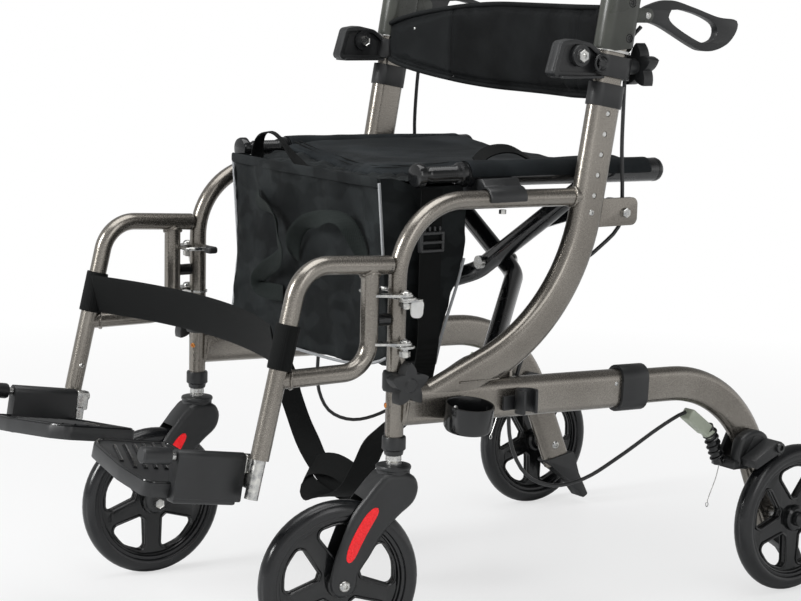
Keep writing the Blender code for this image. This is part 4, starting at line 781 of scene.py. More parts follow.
def upright_y(z):
    return UPRIGHT_CORNER[0] + (z - UPRIGHT_CORNER[1]) * math.tan(LEAN)


def on_upright(low, high, deep, wide):
    return oval_tube([(upright_y(low), low), (upright_y(high), high)], deep, wide)


def lower_z(y):
    return 308.5 - 0.0347 * (y - 6)


def on_lower_tube(front, rear, deep, wide):
    return oval_tube([(y, lower_z(y)) for y in (front, rear)], deep, wide)


def rail_z(y):
    return RAIL_Z - 5 * (y - RAIL_FRONT_Y) / 376


def side_points(points, x=FRAME_X):
    return [(x, y, z) for y, z in points]


def around_x(x, y, z, radius, count=24):
    """A circle about the X direction."""
    return [Vector((x, y + radius * math.cos(a), z + radius * math.sin(a))) for a in turns(count)]


def leaning_ring(centre, wide, deep, high, count):
    """An oval round the Y direction, which leans back as it rises."""
    return [Vector(centre) + Vector((wide * math.cos(a), deep * math.sin(a), high * math.sin(a)))
            for a in turns(count)]


def top_tube_path():
    return bent_path(side_points([(STEM_Y, 257), (STEM_Y, 549), (283, 544)]), [90])


def leg_path():
    return bent_path([(340, lower_z(340)), LEG_CORNER, LEG_END], [170], 4)


def down_the_rest():
    return (Vector((0, *REST_END)) - Vector((0, *REST_CORNER))).normalized()


# The side frames


def make_side_frames():
    pair(tube(top_tube_path(), 11, 32), "top_tube", BRONZE, "frame", "side_frame")
    pair(on_lower_tube(6, 360, *LOWER_TUBE), "lower_tube", BRONZE, "frame")
    upright = oval_tube(bent_path([(50, 309.3), UPRIGHT_CORNER, (upright_y(676), 676)], [240], 3), 46, 24.6)
    holes = []
    pins = []
    for i in range(5):
        z = TOP_HOLE_Z - i * HOLE_SPACING * math.cos(LEAN)
        holes.append(rod(3.6, 4, 16, ALONG_X, (FRAME_X, upright_y(z), z), 16))
        pins.append(rod(3.2, 4, 11.8, ALONG_X, (FRAME_X, upright_y(z), z), 16, 0.5))
    pair(cut(upright, *holes), "upright", BRONZE, "frame")
    pair(merged(*pins), "height_pins", WHITE, "frame")
    outline = rounded_outline([(300, 505), (368, 505), (368, 540), (300, 540)], [2, 9, 9, 2])
    pair(side_plate(outline, 6, FRAME_X, edge=1), "rear_plate", BRONZE, "frame")
    pair(merged(hex_bolt(6.5, 4.5, ALONG_X, (FRAME_X + 3, 348, 521)),
                dome_bolt(4, 2, ALONG_X, (FRAME_X + 12, upright_y(525), 525)),
                dome_bolt(3, 1.5, ALONG_X, (FRAME_X + 12.3, 337, 305))),
         "frame_bolts", ZINC, "frame")
    make_welds()
    make_brace_ears()
    make_link_clevis()
    make_post_hinges()
    button = Vector((-0.45, -0.9, 0)).normalized()
    centre = Vector((FRAME_X, STEM_Y, 309)) + button * 10
    pair(dome_bolt(3.6, 3, pointing(button), centre), "snap_button", BRASS, "frame")


def make_welds():
    """The beads where the tubes are joined: a rippled line round each joint."""
    beads = [tube(leaning_ring((FRAME_X, 12, 308), 13, 3, 26, 40), 1.8, 8, cyclic=True)]
    for side in (-1, 1):
        seam = []
        for y in range(88, 150, 6):
            out = 12.2 - 0.0004 * (y - 90) ** 2
            seam.append(Vector((FRAME_X + side * out, y, lower_z(y) + 24.5 + 0.02 * (y - 90))))
        beads.append(tube(seam, 1.6, 8))
    beads.append(tube(leaning_ring((FRAME_X, 262, 544.4), 11.5, 1.8, 11.5, 32), 1.7, 8, cyclic=True))
    pair(crumple(merged(*beads), 0.9, 3.5), "welds", BRONZE, "frame", sharp=60)


def make_brace_ears():
    x, y, z = BRACE_EAR
    outline = [(231, 297), (231, 343)] + arc_points((x, z), 10, 90, 236, 12)
    ears = [front_plate(outline, 4, y + side * 16.3, edge=0.6) for side in (-1, 1)]
    pair(merged(*ears), "brace_ears", BRONZE, "frame")
    heads = [dome_bolt(6.5, 3, BACK_ALONG_Y, (x, y - 18.3, z)), hex_bolt(6.5, 4, ALONG_Y, (x, y + 18.3, z))]
    pair(merged(*heads), "brace_ear_bolts", ZINC, "frame")


def make_link_clevis():
    x, z = LINK_FOOT
    outline = [(230, 523), (230, 539)] + arc_points(LINK_FOOT, 8, 90, 270, 12)
    ears = [front_plate(outline, 5, BRACE_Y + side * 8.6, edge=0.6) for side in (-1, 1)]
    pair(merged(*ears), "link_clevis", STEEL, "frame")
    pair(rod(4.5, -13.5, 13.5, ALONG_Y, (x, BRACE_Y, z), 16, 0.8), "link_pin", ZINC, "frame")


def make_post_hinges():
    """Zinc plates on the post with the pins that the leg rest turns on."""
    plates = []
    bolts = []
    x, y = FRAME_X + HINGE_OUT, HINGE_Y
    for z in HINGE_HEIGHTS:
        outline = shifted(oval(HINGE_OUT + 22, 22), FRAME_X + HINGE_OUT / 2, HINGE_Y + 1)
        plates.append(plate(outline, 2.8, TOP_VIEW, z - 1.5, edge=0.5))
        plates.append(rod(13, -1.4, 1.4, ALONG_Z, (FRAME_X, STEM_Y, z - 1.5), 28))
        bolts.append(dome_bolt(6.5, 4, ALONG_Z, (x, y, z + 4)))
        bolts.append(rod(3.9, -14, 5, ALONG_Z, (x, y, z), 16))
        bolts.append(hex_bolt(6.5, -5, ALONG_Z, (x, y, z - 7)))
    pair(merged(*plates), "hinge_plates", ZINC, "frame")
    pair(merged(*bolts), "hinge_bolts", ZINC, "frame")


def make_collars():
    collar = cut(on_upright(654, 682, 50, 29), on_upright(640, 690, 41.6, 20.2))
    pair(rounded(collar, 1.5, 2, 50), "upright_collar", PLASTIC, "frame", "upright_collar")
    collar = cut(on_lower_tube(345, 388, 60, 34), on_lower_tube(335, 398, *LOWER_TUBE))
    pair(rounded(collar, 2, 2, 50), "leg_collar", PLASTIC, "frame", "leg_collar")
    pair(on_lower_tube(381, 387.7, 49.6, 24.8), "leg_collar_inner", PLASTIC, "frame")


# Handles


def make_handles():
    post = on_upright(522, 735, 40.6, 19.2)
    pair(post, "handle_tube", BRONZE, "handle", "handle_post")
    corners = [(upright_y(722), 722), (upright_y(HANDLE_Z), HANDLE_Z), (372, HANDLE_Z)]
    housing = oval_tube(bent_path(corners, [34], 6), 54, 32)
    shave = block((FRAME_X - 30, 255, 700), (FRAME_X + 30, 345, 722))
    corner = Matrix.Translation((0, 300, 722))
    shave.data.transform(corner @ Matrix.Rotation(math.radians(6), 4, "X") @ corner.inverted())
    housing = rounded(cut(housing, shave), 1.6, 3, 50)
    pair(housing, "handle_housing", GRAPHITE, "handle")
    pair(on_upright(720.5, 723.5, 50, 28), "housing_lip", ZINC, "handle")
    screws = []
    for y, z in ((332, 738), (335, 781)):
        screws.append(dome_bolt(3.4, 1.6, ALONG_X, (FRAME_X + 15.5, y, z)))
        screws.append(tube(around_x(FRAME_X + 15.8, y, z, 5), 0.9, 8, cyclic=True))
    pair(merged(*screws), "housing_screws", GLOSSY, "handle")
    make_grip()
    make_lever()
    make_clamp()


def make_grip():
    front = 372.3
    length = 502 - front
    profile = [(0, length), (9, length), (14, length - 2), (16.4, length - 7)]
    for i in range(25):
        share = i / 24
        profile.append((16.6 - 1.3 * math.sin(share * math.tau * 2) ** 2, length - 10 - share * (length - 24)))
    profile += [(17, 12), (19, 9), (19, 1), (18, 0), (0, 0)]
    pair(turned(profile, at((FRAME_X, front, HANDLE_Z), ALONG_Y), 36), "grip", GRIP, "handle", "hand_grip")


def make_lever():
    y, z = LEVER_PIVOT
    outer = smooth_outline([(360, 770), (374, 778), (407, 785), (445, 777), (489, 765), (518, 762), (525, 756),
                            (521, 744), (508, 731), (487, 723), (466, 722), (447, 728), (399, 750), (377, 757),
                            (361, 759)])
    window = smooth_outline([(409, 773), (405, 763), (418, 752), (452, 736), (469, 732), (484, 736),
                             (489, 746), (484, 756), (461, 766), (430, 773)])
    pair(side_plate(outer, 11, holes=[window], edge=2), "lever", PLASTIC, "lever", "brake_lever")
    outline = [(340, z + 9), (340, z - 9)] + arc_points((y, z), 9, -90, 90, 12)
    ears = [side_plate(outline, 4, FRAME_X + side * 8.3, edge=0.8) for side in (-1, 1)]
    pair(merged(*ears), "lever_ears", GRAPHITE, "handle")
    pin = rod(3, -10, 10.4, ALONG_X, (FRAME_X, y, z), 16)
    pair(merged(dome_bolt(4.6, 2, ALONG_X, (FRAME_X + 10.3, y, z)), pin), "lever_pin", ZINC, "handle")


def make_clamp():
    """The backrest's clamp: a ring on the post, an arm with raised rims, its bolt, a dial and a star knob."""
    ring = cut(on_upright(690, 716, 58, 35), on_upright(680, 726, 41.4, 20))
    pair(rounded(ring, 2, 2, 50), "clamp_ring", PLASTIC, "handle", "backrest_clamp")
    front = upright_y(690) - 96
    root = front + 75
    arm = [(1, 692), (75, 690), (75, 722), (60, 732), (34, 737), (14, 734)]
    hollow = [(9, 698), (72, 696), (72, 717), (59, 727), (36, 731), (19, 728)]
    arm = rounded_outline(shifted(arm, front), [6, 1, 3, 14, 12, 8], 12)
    hollow = rounded_outline(shifted(hollow, front), [4, 1, 2, 10, 8, 5], 12)
    rims = [side_plate(arm, 3.5, FRAME_X + side * 7, [hollow], edge=0.9) for side in (-1, 1)]
    flange = block((FRAME_X - 10, front + 12, 689.5), (FRAME_X + 15, root + 3, 693), 1)
    pair(merged(side_plate(arm, 10, edge=1.2), *rims, flange), "clamp_arm", PLASTIC, "handle")
    bolt_y, bolt_z = front + 42, 717
    boss = turned([(0, 15), (8, 15), (9, 13.5), (13, 13.5), (13.5, 12), (13.5, -10), (0, -10)],
                  at((FRAME_X, bolt_y, bolt_z), ALONG_X), 32)
    pair(boss, "clamp_boss", PLASTIC, "handle")
    heads = [hex_bolt(8, 4.5, ALONG_X, (FRAME_X + 14.5, bolt_y, bolt_z)),
             dome_bolt(4.5, 6.5, ALONG_X, (FRAME_X + 14.5, bolt_y, bolt_z)),
             hex_bolt(7, -4.5, ALONG_X, (FRAME_X - 10, bolt_y, bolt_z))]
    pair(merged(*heads), "clamp_bolt", ZINC, "handle")
    dial_y, dial_z = upright_y(703) - 26, 708
    dial = [rod(5, -4, 17, ALONG_X, (FRAME_X, dial_y, dial_z), 24, 1),
            tube(around_x(FRAME_X + 15, dial_y, dial_z, 10), 1.6, 8, cyclic=True)]
    for i in range(3):
        spoke = block((FRAME_X + 8, -1.6, 2), (FRAME_X + 16, 1.6, 10), 0.6)
        spoke.data.transform(at((0, dial_y, dial_z), Matrix.Rotation(math.radians(120 * i + 30), 4, "X")))
        dial.append(spoke)
    pair(merged(*dial), "clamp_dial", PLASTIC, "handle")
    rear = upright_y(703) + 29
    pair(rod(10, -8, 12, ALONG_Y, (FRAME_X, rear, 703), 28, 1.5), "clamp_neck", PLASTIC, "handle")
    knob = front_plate(shifted(star_outline(29, 16), FRAME_X, 703), 15, rear + 20, edge=3)
    hub = rod(9, 10, 30, ALONG_Y, (FRAME_X, rear, 703), 28, 2)
    pair(merged(knob, hub), "clamp_star", PLASTIC, "handle_star", "handle_knob")


# Rear legs, brakes and wheels


def make_rear_legs():
    pair(oval_tube(leg_path(), 45.4, 20.4), "rear_leg_tube", BRONZE, "frame", "rear_leg")
    heads = [dome_bolt(6.5, 3.5, BACK_ALONG_X, (FRAME_X - 10.2, REAR_AXLE_Y, WHEEL_RADIUS)),
             rod(9.5, 10.6, 29.4, ALONG_X, (FRAME_X, REAR_AXLE_Y, WHEEL_RADIUS), 28, 1)]
    pair(merged(*heads), "axle_bolt", ZINC, "frame", "rear_axle")
    cap = turned([(0, 67), (5, 67), (9, 64.5), (10, 61), (10, 58.6), (0, 58.6)],
                 at((FRAME_X, REAR_AXLE_Y, WHEEL_RADIUS), ALONG_X), 28)
    pair(cap, "axle_cap", GLOSSY, "frame")
    make_pedals()


def make_pedals():
    """The tip pedal on the foot of the leg, with ribs across its tread."""
    y, z = LEG_END
    corners = [(-30, 4), (-8, -14), (22, -34), (46, -63), (56, -58), (36, -22), (24, 14)]
    outline = rounded_outline(shifted(corners, y, z), [3, 6, 8, 3, 3, 9, 4], 12)
    pedal = cut(side_plate(outline, 26.4, edge=2.5), oval_tube([(585, 204), (641.8, 73.4)], 46, 21))
    pair(pedal, "tip_pedal", PLASTIC, "frame", "tip_pedal")
    ribs = []
    for i in range(5):
        share = 0.25 + 0.14 * i
        ribs.append(rod(1.2, -11, 11, ALONG_X, (FRAME_X, y + 30 + 24 * share, z - 20 - 36 * share), 10))
    pair(merged(*ribs), "pedal_ribs", PLASTIC, "frame")


def make_brakes():
    y, z = BRAKE_BOLT
    corners = [(-44, -26), (-22, -34), (8, -12), (13, 4), (2, 14), (-22, 19)]
    outline = rounded_outline(shifted(corners, y, z), [6, 5, 8, 8, 8, 10], 12)
    inner = side_plate(outline, 6, FRAME_X - 13.5, edge=1.5)
    points = [(-46, -28), (-24, -33), (-4, -22), (11, -4), (8, 10), (-8, 18), (-28, 16), (-42, 4)]
    outer = eased_plate(smooth_outline(shifted(points, y, z), 4), 19, 6, FRAME_X + 19.5)
    bridge = block((FRAME_X - 16, y - 52, z - 31), (FRAME_X + 28, y - 30, z - 20), 2)
    corners = [(-40, -22), (-14, -20), (6, 2), (-18, 14)]
    cover = side_plate(rounded_outline(shifted(corners, y, z), 6, 12), 3, FRAME_X + 29, edge=1)
    pair(merged(outer, inner, bridge, cover), "brake_body", PLASTIC, "frame", "brake_bracket")
    make_brake_springs()
    make_cable_ends()
    make_brake_shoes()


def make_brake_springs():
    low = Vector((FRAME_X, 535, 178))
    high = Vector((FRAME_X, 511, 230))
    place = at(low, pointing(high - low))
    long = (high - low).length
    core = turned([(0, long), (7.5, long), (8.2, long * 0.5), (8, 0), (0, 0)], place, 20)
    coil = [place @ Vector((9 * math.cos(a), 9 * math.sin(a), 3 + a * (long - 6) / 37.7))
            for a in [0.3 * i for i in range(126)]]
    pair(merged(core, tube(coil, 1.5, 8)), "brake_spring", GLOSSY, "frame")


def make_cable_ends():
    """The pale cable end over the spring, and the bare wire that comes out below it with a small eye."""
    low = Vector((FRAME_X, 514, 220))
    top = Vector((FRAME_X, *CONNECTOR))
    place = at(low, pointing(top - low, "X"))
    sleeve = block((-8, -9.6, 8), (8, 9.6, (top - low).length - 0.5), 2.2)
    sleeve.data.transform(place)
    neck = turned([(0, 10), (7, 10), (8.5, 6), (8.5, -3), (0, -3)], place, 20)
    pair(merged(sleeve, neck), "cable_connector", PALE, "frame")
    wire = smooth_path([(FRAME_X + 4, 532, 176), (FRAME_X + 4, 527, 158), (FRAME_X + 3, 519, 138),
                        (FRAME_X + 3, 514, 126)], 3)
    eye = [wire[-1] + Vector((0, 2.2 * math.sin(a), 3 * math.cos(a) - 3)) for a in [*turns(12), 0]]
    pair(tube(wire + eye, 0.6, 8), "brake_wire", ZINC, "frame")


def make_brake_shoes():
    y, z = BRAKE_BOLT
    away = Vector((y - REAR_AXLE_Y, z - WHEEL_RADIUS)).normalized()
    along = Vector((-away.y, away.x))
    centre = Vector((y, z))
    end = centre + along * 46
    start = math.degrees(math.atan2(away.y, away.x))
    outline = arc_points(centre, 8, start - 180, start, 14) + [end + away * 4, end - away * 8]
    pair(side_plate(outline, 25, FRAME_X + 45.5, edge=1.6), "brake_arm", PLASTIC, "shoe", "brake_shoe")
    socket = turned([(0, 2), (3.2, 2), (3.6, 4.6), (6.5, 4.6), (7, 3.6), (7, 0), (0, 0)],
                    at((FRAME_X + 57.5, y, z), ALONG_X), 24)
    pair(merged(socket, rod(4, 28, 58, ALONG_X, (FRAME_X, y, z), 20)), "brake_bolt", STEEL, "frame")


def spoke_window(angle):
    corners = []
    for radius, share in ((72, -0.78), (74, 0), (72, 0.78), (27, 0.28), (27, -0.28)):
        turn = angle + share * math.pi / 5
        corners.append((radius * math.cos(turn), radius * math.sin(turn)))
    return rounded_outline(corners, [9, 40, 9, 4, 4], 12)


def wheel_tyre(place):
    """The tyre's round tread, the step where it meets the rim, and the rim's inner band."""
    tread = arc_points((86.5, 0), 13.4, 100, -100, 20)
    rim = both_ways([(82, -12.2), (81, -10.2), (79.6, -10.6), (77, -10), (76, -7)])
    return turned(tread + rim, place, 64, closed=True)


def wheel_web(place):
    """Five spokes: a web with windows, a raised lip round each, and the hub."""
    windows = [spoke_window(math.tau * (i + 0.5) / 5) for i in range(5)]
    disc = plate(arc_points((0, 0), 77, 0, 354, 59), 9, place, 0, windows, 1.2)
    lips = []
    for side in (-1, 1):
        for window in windows:
            path = [place @ Vector((x, y, side * 4.8)) for x, y in window]
            lips.append(tube(path, 1.7, 8, cyclic=True))
        ring = [place @ Vector((75.5 * math.cos(a), 75.5 * math.sin(a), side * 5)) for a in turns(60)]
        lips.append(tube(ring, 2.2, 8, cyclic=True))
    hub = turned(both_ways([(0, 14.7), (8, 14.7), (8.6, 13.4), (14, 13.4), (17, 11), (18, 7)]), place, 40)
    return merged(disc, *lips, hub)


def make_wheels():
    rear = at((FRAME_X + WHEEL_OUT, REAR_AXLE_Y, WHEEL_RADIUS), ALONG_X)
    front = at((FRAME_X, STEM_Y - TRAIL, WHEEL_RADIUS), ALONG_X)
    pair(wheel_tyre(rear), "rear_tyre", TYRE, "wheel", "rear_wheel")
    pair(wheel_web(rear), "rear_spokes", GLOSSY, "wheel")
    pair(wheel_tyre(front), "front_tyre", TYRE, "front_wheel", "caster_wheel", turn=CASTER_TURN)
    pair(wheel_web(front), "front_spokes", GLOSSY, "front_wheel", turn=CASTER_TURN)


# Casters


def fork_outline():
    """The fork's side: from the bell under the stem forward to the axle."""
    points = [(12, 231), (22, 224), (26, 211), (20, 194), (1, 178), (-18, 158), (-34, 132), (-48, 112),
              (-50, 96), (-59, 86), (-72, 85), (-81, 93), (-83, 106), (-79, 128), (-69, 156), (-57, 184),
              (-40, 206), (-27, 221), (-14, 231)]
    return smooth_outline(shifted(points, STEM_Y))


def reflector_outline():
    """A slim lens along the fork's side."""
    line = smooth_path(shifted([(4, 128), (14, 152), (27, 175), (40, 192)], STEM_Y - TRAIL), 2)
    left = []
    right = []
    for i, point in enumerate(line):
        share = i / (len(line) - 1)
        ahead = (line[min(i + 1, len(line) - 1)] - line[max(i - 1, 0)]).normalized()
        across = Vector((-ahead.y, ahead.x, 0)) * 7 * (1 - abs(2 * share - 1) ** 4) ** 0.5
        left.append((point + across).to_2d())
        right.append((point - across).to_2d())
    return left + right[-2:0:-1]


def make_casters():
    axle = Vector((FRAME_X, STEM_Y - TRAIL, WHEEL_RADIUS))
    fork = cut(eased_plate(fork_outline(), 43, 8), rod(105, -15, 15, ALONG_X, axle, 64))
    pair(fork, "fork", PLASTIC, "caster", "caster_fork", sharp=50, turn=CASTER_TURN)
    cap = turned([(0, 239), (15, 239), (20.4, 237.6), (21.4, 236), (21.2, 233.6), (20, 232), (20, 216),
                  (0, 216)], STEM, 40)
    pair(cap, "fork_cap", PLASTIC, "caster", turn=CASTER_TURN)
    stem = turned([(0, 258), (8, 258), (8, 249.6), (9.3, 249), (9.5, 243), (8.6, 242), (9.8, 241), (9.8, 238),
                   (0, 238)], STEM, 32)
    pair(stem, "caster_stem", ZINC, "caster")
    out = Vector((21.5, 0, 0))
    heads = [dome_bolt(7, 4.5, ALONG_X, axle + out), hex_bolt(7, -4.5, ALONG_X, axle - out),
             rod(4, -21, 21, ALONG_X, axle, 16)]
    pair(merged(*heads), "caster_axle", ZINC, "caster", turn=CASTER_TURN)
    for side, name in ((-1, "inner_reflector"), (1, "reflector")):
        lens = side_plate(reflector_outline(), 3, FRAME_X + side * 20.8, edge=0.7)
        pair(lens, name, REFLECTOR, "caster", turn=CASTER_TURN)
    bushing = turned([(11.3, 272), (13.6, 272), (14.3, 270.6), (14.3, 257), (13.4, 256), (12, 255), (11, 250),
                      (9, 250), (8.6, 251)], STEM, 36)
    pair(bushing, "bushing", PLASTIC, "frame", "caster_bushing")


def make_post_knobs():
    band = turned([(11.1, 351), (14.5, 350), (15.5, 347), (15.5, 330), (14.5, 327), (11.1, 326)], STEM, 32)
    shelf = block((FRAME_X + 6, STEM_Y - 11, 330), (FRAME_X + 17, STEM_Y + 11, 347), 3)
    pair(merged(band, shelf), "post_band", PLASTIC, "frame")
    knob = side_plate(shifted(star_outline(27, 15), STEM_Y, POST_KNOB_Z), 15, FRAME_X + 24.5, edge=3)
    hub = rod(9, 16, 34, ALONG_X, (FRAME_X, STEM_Y, POST_KNOB_Z), 28, 2)
    pair(merged(knob, hub), "post_star", PLASTIC, "post_star", "post_knob")


# Leg rests


def make_leg_rests():
    main = tube(bent_path(side_points([(-9.6, 476.5), REST_CORNER, REST_END]), [45]), 11, 32)
    rear = tube(bent_path(side_points([(-37, 476), (-37, 354), (-160, 354)]), [35]), 10.6, 32)
    down = down_the_rest()
    end = Vector((FRAME_X, *REST_END))
    bore = tube([end - down * 90, end + down * 5], 8.6, 24)
    pair(cut(main, bore), "rest_front_tube", BRONZE, "rest", "leg_rest")
    pair(rear, "rest_rear_tube", BRONZE, "rest")
    cap = turned([(0, 1.6), (8, 1.4), (10.4, 0.6), (11, -0.6), (11, -3), (0, -3)],
                 at((FRAME_X, -10.9, 476.6), ALONG_Y), 28)
    pair(cap, "rest_end_cap", PLASTIC, "rest")
    pin = Vector((FRAME_X + HINGE_OUT, HINGE_Y))
    root = Vector((FRAME_X, -37))
    along = (pin - root).normalized()
    side = Vector((-along.y, along.x)) * 8
    turn = math.degrees(math.atan2(along.y, along.x))
    outline = [root + side, root - side] + arc_points(pin, 8, turn - 90, turn + 90, 12)
    plates = [plate(outline, 3, TOP_VIEW, z + 1.8, edge=0.5) for z in HINGE_HEIGHTS]
    pair(merged(*plates), "rest_plates", ZINC, "rest")
    bumper = turned([(0, 27.5), (6, 27.5), (7.4, 26), (7.4, 9), (0, 9)],
                    at((FRAME_X, -37, 412.5), ALONG_Y), 24)
    pair(bumper, "rest_bumper", GLOSSY, "rest")
    beads = []
    for y, z, tilt in ((-37, 467, 0), (-147, 354, 90)):
        place = at((FRAME_X, y, z), Matrix.Rotation(math.radians(tilt), 4, "X"))
        ring = [place @ Vector((11.4 * math.cos(a), 11.4 * math.sin(a), 2.6 * math.cos(2 * a)))
                for a in turns(36)]
        beads.append(tube(ring, 1.5, 8, cyclic=True))
    pair(crumple(merged(*beads), 0.8, 3), "rest_welds", BRONZE, "rest", sharp=60)
    pair(dome_bolt(3.4, 3, BACK_ALONG_X, (FRAME_X - 9.6, -176.5, 297)), "rest_snap_button", ZINC, "rest")
    make_latches()


def make_latches():
    z = 437.7
    pin = (FRAME_X + HINGE_OUT, HINGE_Y)
    outline = arc_points(pin, 8, 180, 360, 12) + [(pin[0] + 6, HINGE_Y + 20), (pin[0] - 4, HINGE_Y + 20)]
    flat = plate(outline, 2.2, TOP_VIEW, z - 1.2, edge=0.5)
    pair(flat, "latch_plate", ZINC, "latch", "latch_lever")
    tab = rounded_outline([(2, z + 1), (4, z - 21), (19, z - 22), (21, z - 1)], 6, 15)
    pair(side_plate(tab, 3, pin[0] + 4.5, edge=1), "latch_tab", WHITE, "latch")
    near, far = FRAME_X - 11, FRAME_X - 34
    bow = bent_path([(near, -30, 444), (far, -30, 444), (far, 4, 444), (near, 4, 444)], [8, 8], 15)
    pair(tube(bow, 2.6, 12), "latch_bow", ZINC, "rest")
    tip = block((FRAME_X - 47, -8, 438), (FRAME_X - 30, 6, 447), 3)
    pair(tip, "latch_tip", PLASTIC, "rest")


def in_foot_axes(solid):
    """Moves a solid drawn about the footplate's hinge to where that hinge lies, with the plate's tilt."""
    solid.data.transform(at(FOOT_HINGE, Matrix.Rotation(FOOT_TILT, 4, "X")))
    return solid


def make_footrests():
    down = down_the_rest()
    end = Vector((FRAME_X, *REST_END))
    pair(tube([end - down * 85, end + down * 46], 8, 28), "foot_tube", ZINC, "foot", "footrest_tube")
    hub = block((-6.5, -1, -31), (18, 11, -12), 2.5)
    ear = block((-6.5, -2.2, -18), (6.5, 15.5, 7), 2.5)
    pair(in_foot_axes(merged(hub, ear)), "foot_hub", ZINC, "foot")
    bolts = merged(dome_bolt(5.5, 3, ALONG_Y, (0, 15.5, 0)), hex_bolt(4.5, 3, ALONG_X, (18, 5, -22)))
    pair(in_foot_axes(bolts), "foot_bolts", ZINC, "foot")
    make_footplates()


def make_footplates():
    """The box sleeve on the hinge rod, its end knob, and the ribbed deck, raised on its inner side."""
    outline = arc_points((0, 0), 8.5, 0, 180, 16) + [(-8.5, -46), (-6.5, -48), (6.5, -48), (8.5, -46)]
    sleeve = front_plate(outline, 88, -46.8, edge=1.2)
    foot = block((-9.5, -90, -52), (7.5, -8, -38), 3)
    knob = turned([(0, 37), (7.6, 37), (9.4, 35.4), (9.8, 33), (9.8, 3), (9, 1), (7, 0), (0, 0)],
                  at((0, -98, 0), BACK_ALONG_Y), 28)
    pair(in_foot_axes(merged(sleeve, foot, knob)), "foot_panel", PLASTIC, "plate", "footplate")
    pair(in_foot_axes(rod(5, -98, -91, ALONG_Y, (0, 0, 0), 20, 1)), "foot_pin", ZINC, "plate")
    corners = [(2, -3), (-168, -2), (-171, -96), (-150, -112), (-60, -124), (2, -122)]
    outline = rounded_outline(corners, [4, 7, 14, 24, 50, 12], 10)
    deck = plate(outline, 16, TOP_VIEW, -39.5, edge=2.5)
    tread_z = -31.2
    rim = [Vector((x * 0.965 - 2.5, y * 0.95 - 3, tread_z)) for x, y in outline]
    ribs = [tube(rim, 2, 8, cyclic=True)]
    for i in range(6):
        start = Vector((-160 + 4 * i, -14 - 15 * i, tread_z))
        reach = min(112 - 4 * i, (112 + start.y) / 0.35)
        ribs.append(tube([start, start + Vector((reach * 0.94, -reach * 0.34, 0))], 2.6, 8))
    lifted = Matrix.Rotation(math.radians(6), 4, "Y")
    for solid, name, finish in ((deck, "foot_deck", PLASTIC), (merged(*ribs), "foot_ribs", GLOSSY)):
        solid.data.transform(lifted)
        pair(in_foot_axes(solid), name, finish, "plate")


# Cross brace and seat rails


def make_saddles():
    """The clip on the top tube, with a hollow for the tube below and one for the seat rail beside it."""
    middle = 154.5
    tube_z = 549 - 5 * (middle - 90) / 193
    outline = arc_points((FRAME_X, tube_z), 14.5, -15, 90, 10)
    outline += [(FRAME_X - 6, rail_z(middle) - 3), (185, rail_z(middle) - 6), (187, rail_z(middle) - 18),
                (197, tube_z - 8)]
    hollows = [tube(side_points([(110, 548.5), (210, 545.9)]), 11.2, 32),
               tube([(RAIL_X, RAIL_FRONT_Y, RAIL_Z), RAIL_REAR], 15.4, 32)]
    clip = cut(front_plate(outline, 55, middle, edge=1.5), *hollows)
    pair(clip, "saddle", PLASTIC, "frame", "saddle_clip")
    pair(hex_bolt(4.5, -4, ALONG_Z, (FRAME_X, middle, tube_z - 14)), "saddle_screw", ZINC, "frame")


def brace_path(side):
    """From the rail at +X down through the pivot to the hinge at -X."""
    y = BRACE_Y + side * 13
    return bent_path([(196, y, 555), (-24, y, 417), (-203, 160, 333)], [40], 5)


def brace_limb(side):
    """The brace tube with its hinge barrel, cut back where it meets the ears."""
    path = brace_path(side)
    path.insert(-1, path[-2].lerp(path[-1], 0.75))
    walls = [block((-260, 60, 280), (-193, 146, 380)), block((-260, 174, 280), (-193, 240, 380)),
             block((-260, 60, 280), (-205, 240, 380))]
    x, y, z = BRACE_EAR
    return merged(cut(tube(path, 12.5, 28), *walls), rod(10, -14, 14, ALONG_Y, (-x, y, z), 28, 1))


def rail_fittings():
    """The rail's ribbed front end with its flat nose, and the cap on its rear end."""
    profile = [(0, 71), (13, 71), (14, 69), (14, 62), (11.5, 60), (11.2, 56)]
    for i in range(13):
        profile += [(10.2, 55 - 3 * i), (9.2, 53.5 - 3 * i)]
    profile += [(8.2, 14), (8.2, 8), (0, 8)]
    front = turned(profile, at((RAIL_X, RAIL_FRONT_Y, RAIL_Z), ALONG_Y), 36)
    cap = turned([(0, 9), (6, 8.6), (11, 6.4), (14, 3), (15.2, 0), (15.2, -4), (0, -4)],
                 at(RAIL_REAR, ALONG_Y), 36)
    nose = turned([(0, 2), (9, 1.6), (13.6, 0), (14.8, -2.6), (14.8, -9), (12.6, -11), (0, -11)],
                  at((RAIL_X, 46, RAIL_Z), BACK_ALONG_Y), 36)
    return merged(front, cap, nose)


def make_braces():
    for side, name in ((-1, "left"), (1, "right")):
        body = f"{name}_brace"
        rail = tube([(RAIL_X, 118, rail_z(118)), RAIL_REAR], 15, 36)
        sleeve = rail_sleeve()
        pieces = [brace_limb(side), rail, rail_fittings(), sleeve]
        if side > 0:
            pieces = [mirrored_away(piece) for piece in pieces]
        limb, rail, fittings, sleeve = pieces
        settle(limb, f"{name}_brace_tube", STEEL, body, f"brace_{name}_rail")
        settle(rail, f"{name}_rail_tube", STEEL, body)
        settle(fittings, f"{name}_rail_fittings", GLOSSY, body)
        settle(sleeve, f"{name}_rail_sleeve", CLOTH, body)
    bolt = turned([(0, 32), (6, 31.4), (9, 29), (9, 25.8), (5, 25.8), (5, -25.8), (9, -25.8), (9, -31.8),
                   (0, -31.8)], at((0, BRACE_Y, 432), ALONG_Y), 24)
    settle(bolt, "brace_bolt", ZINC, "right_brace", "brace_pivot_bolt")
    make_links()


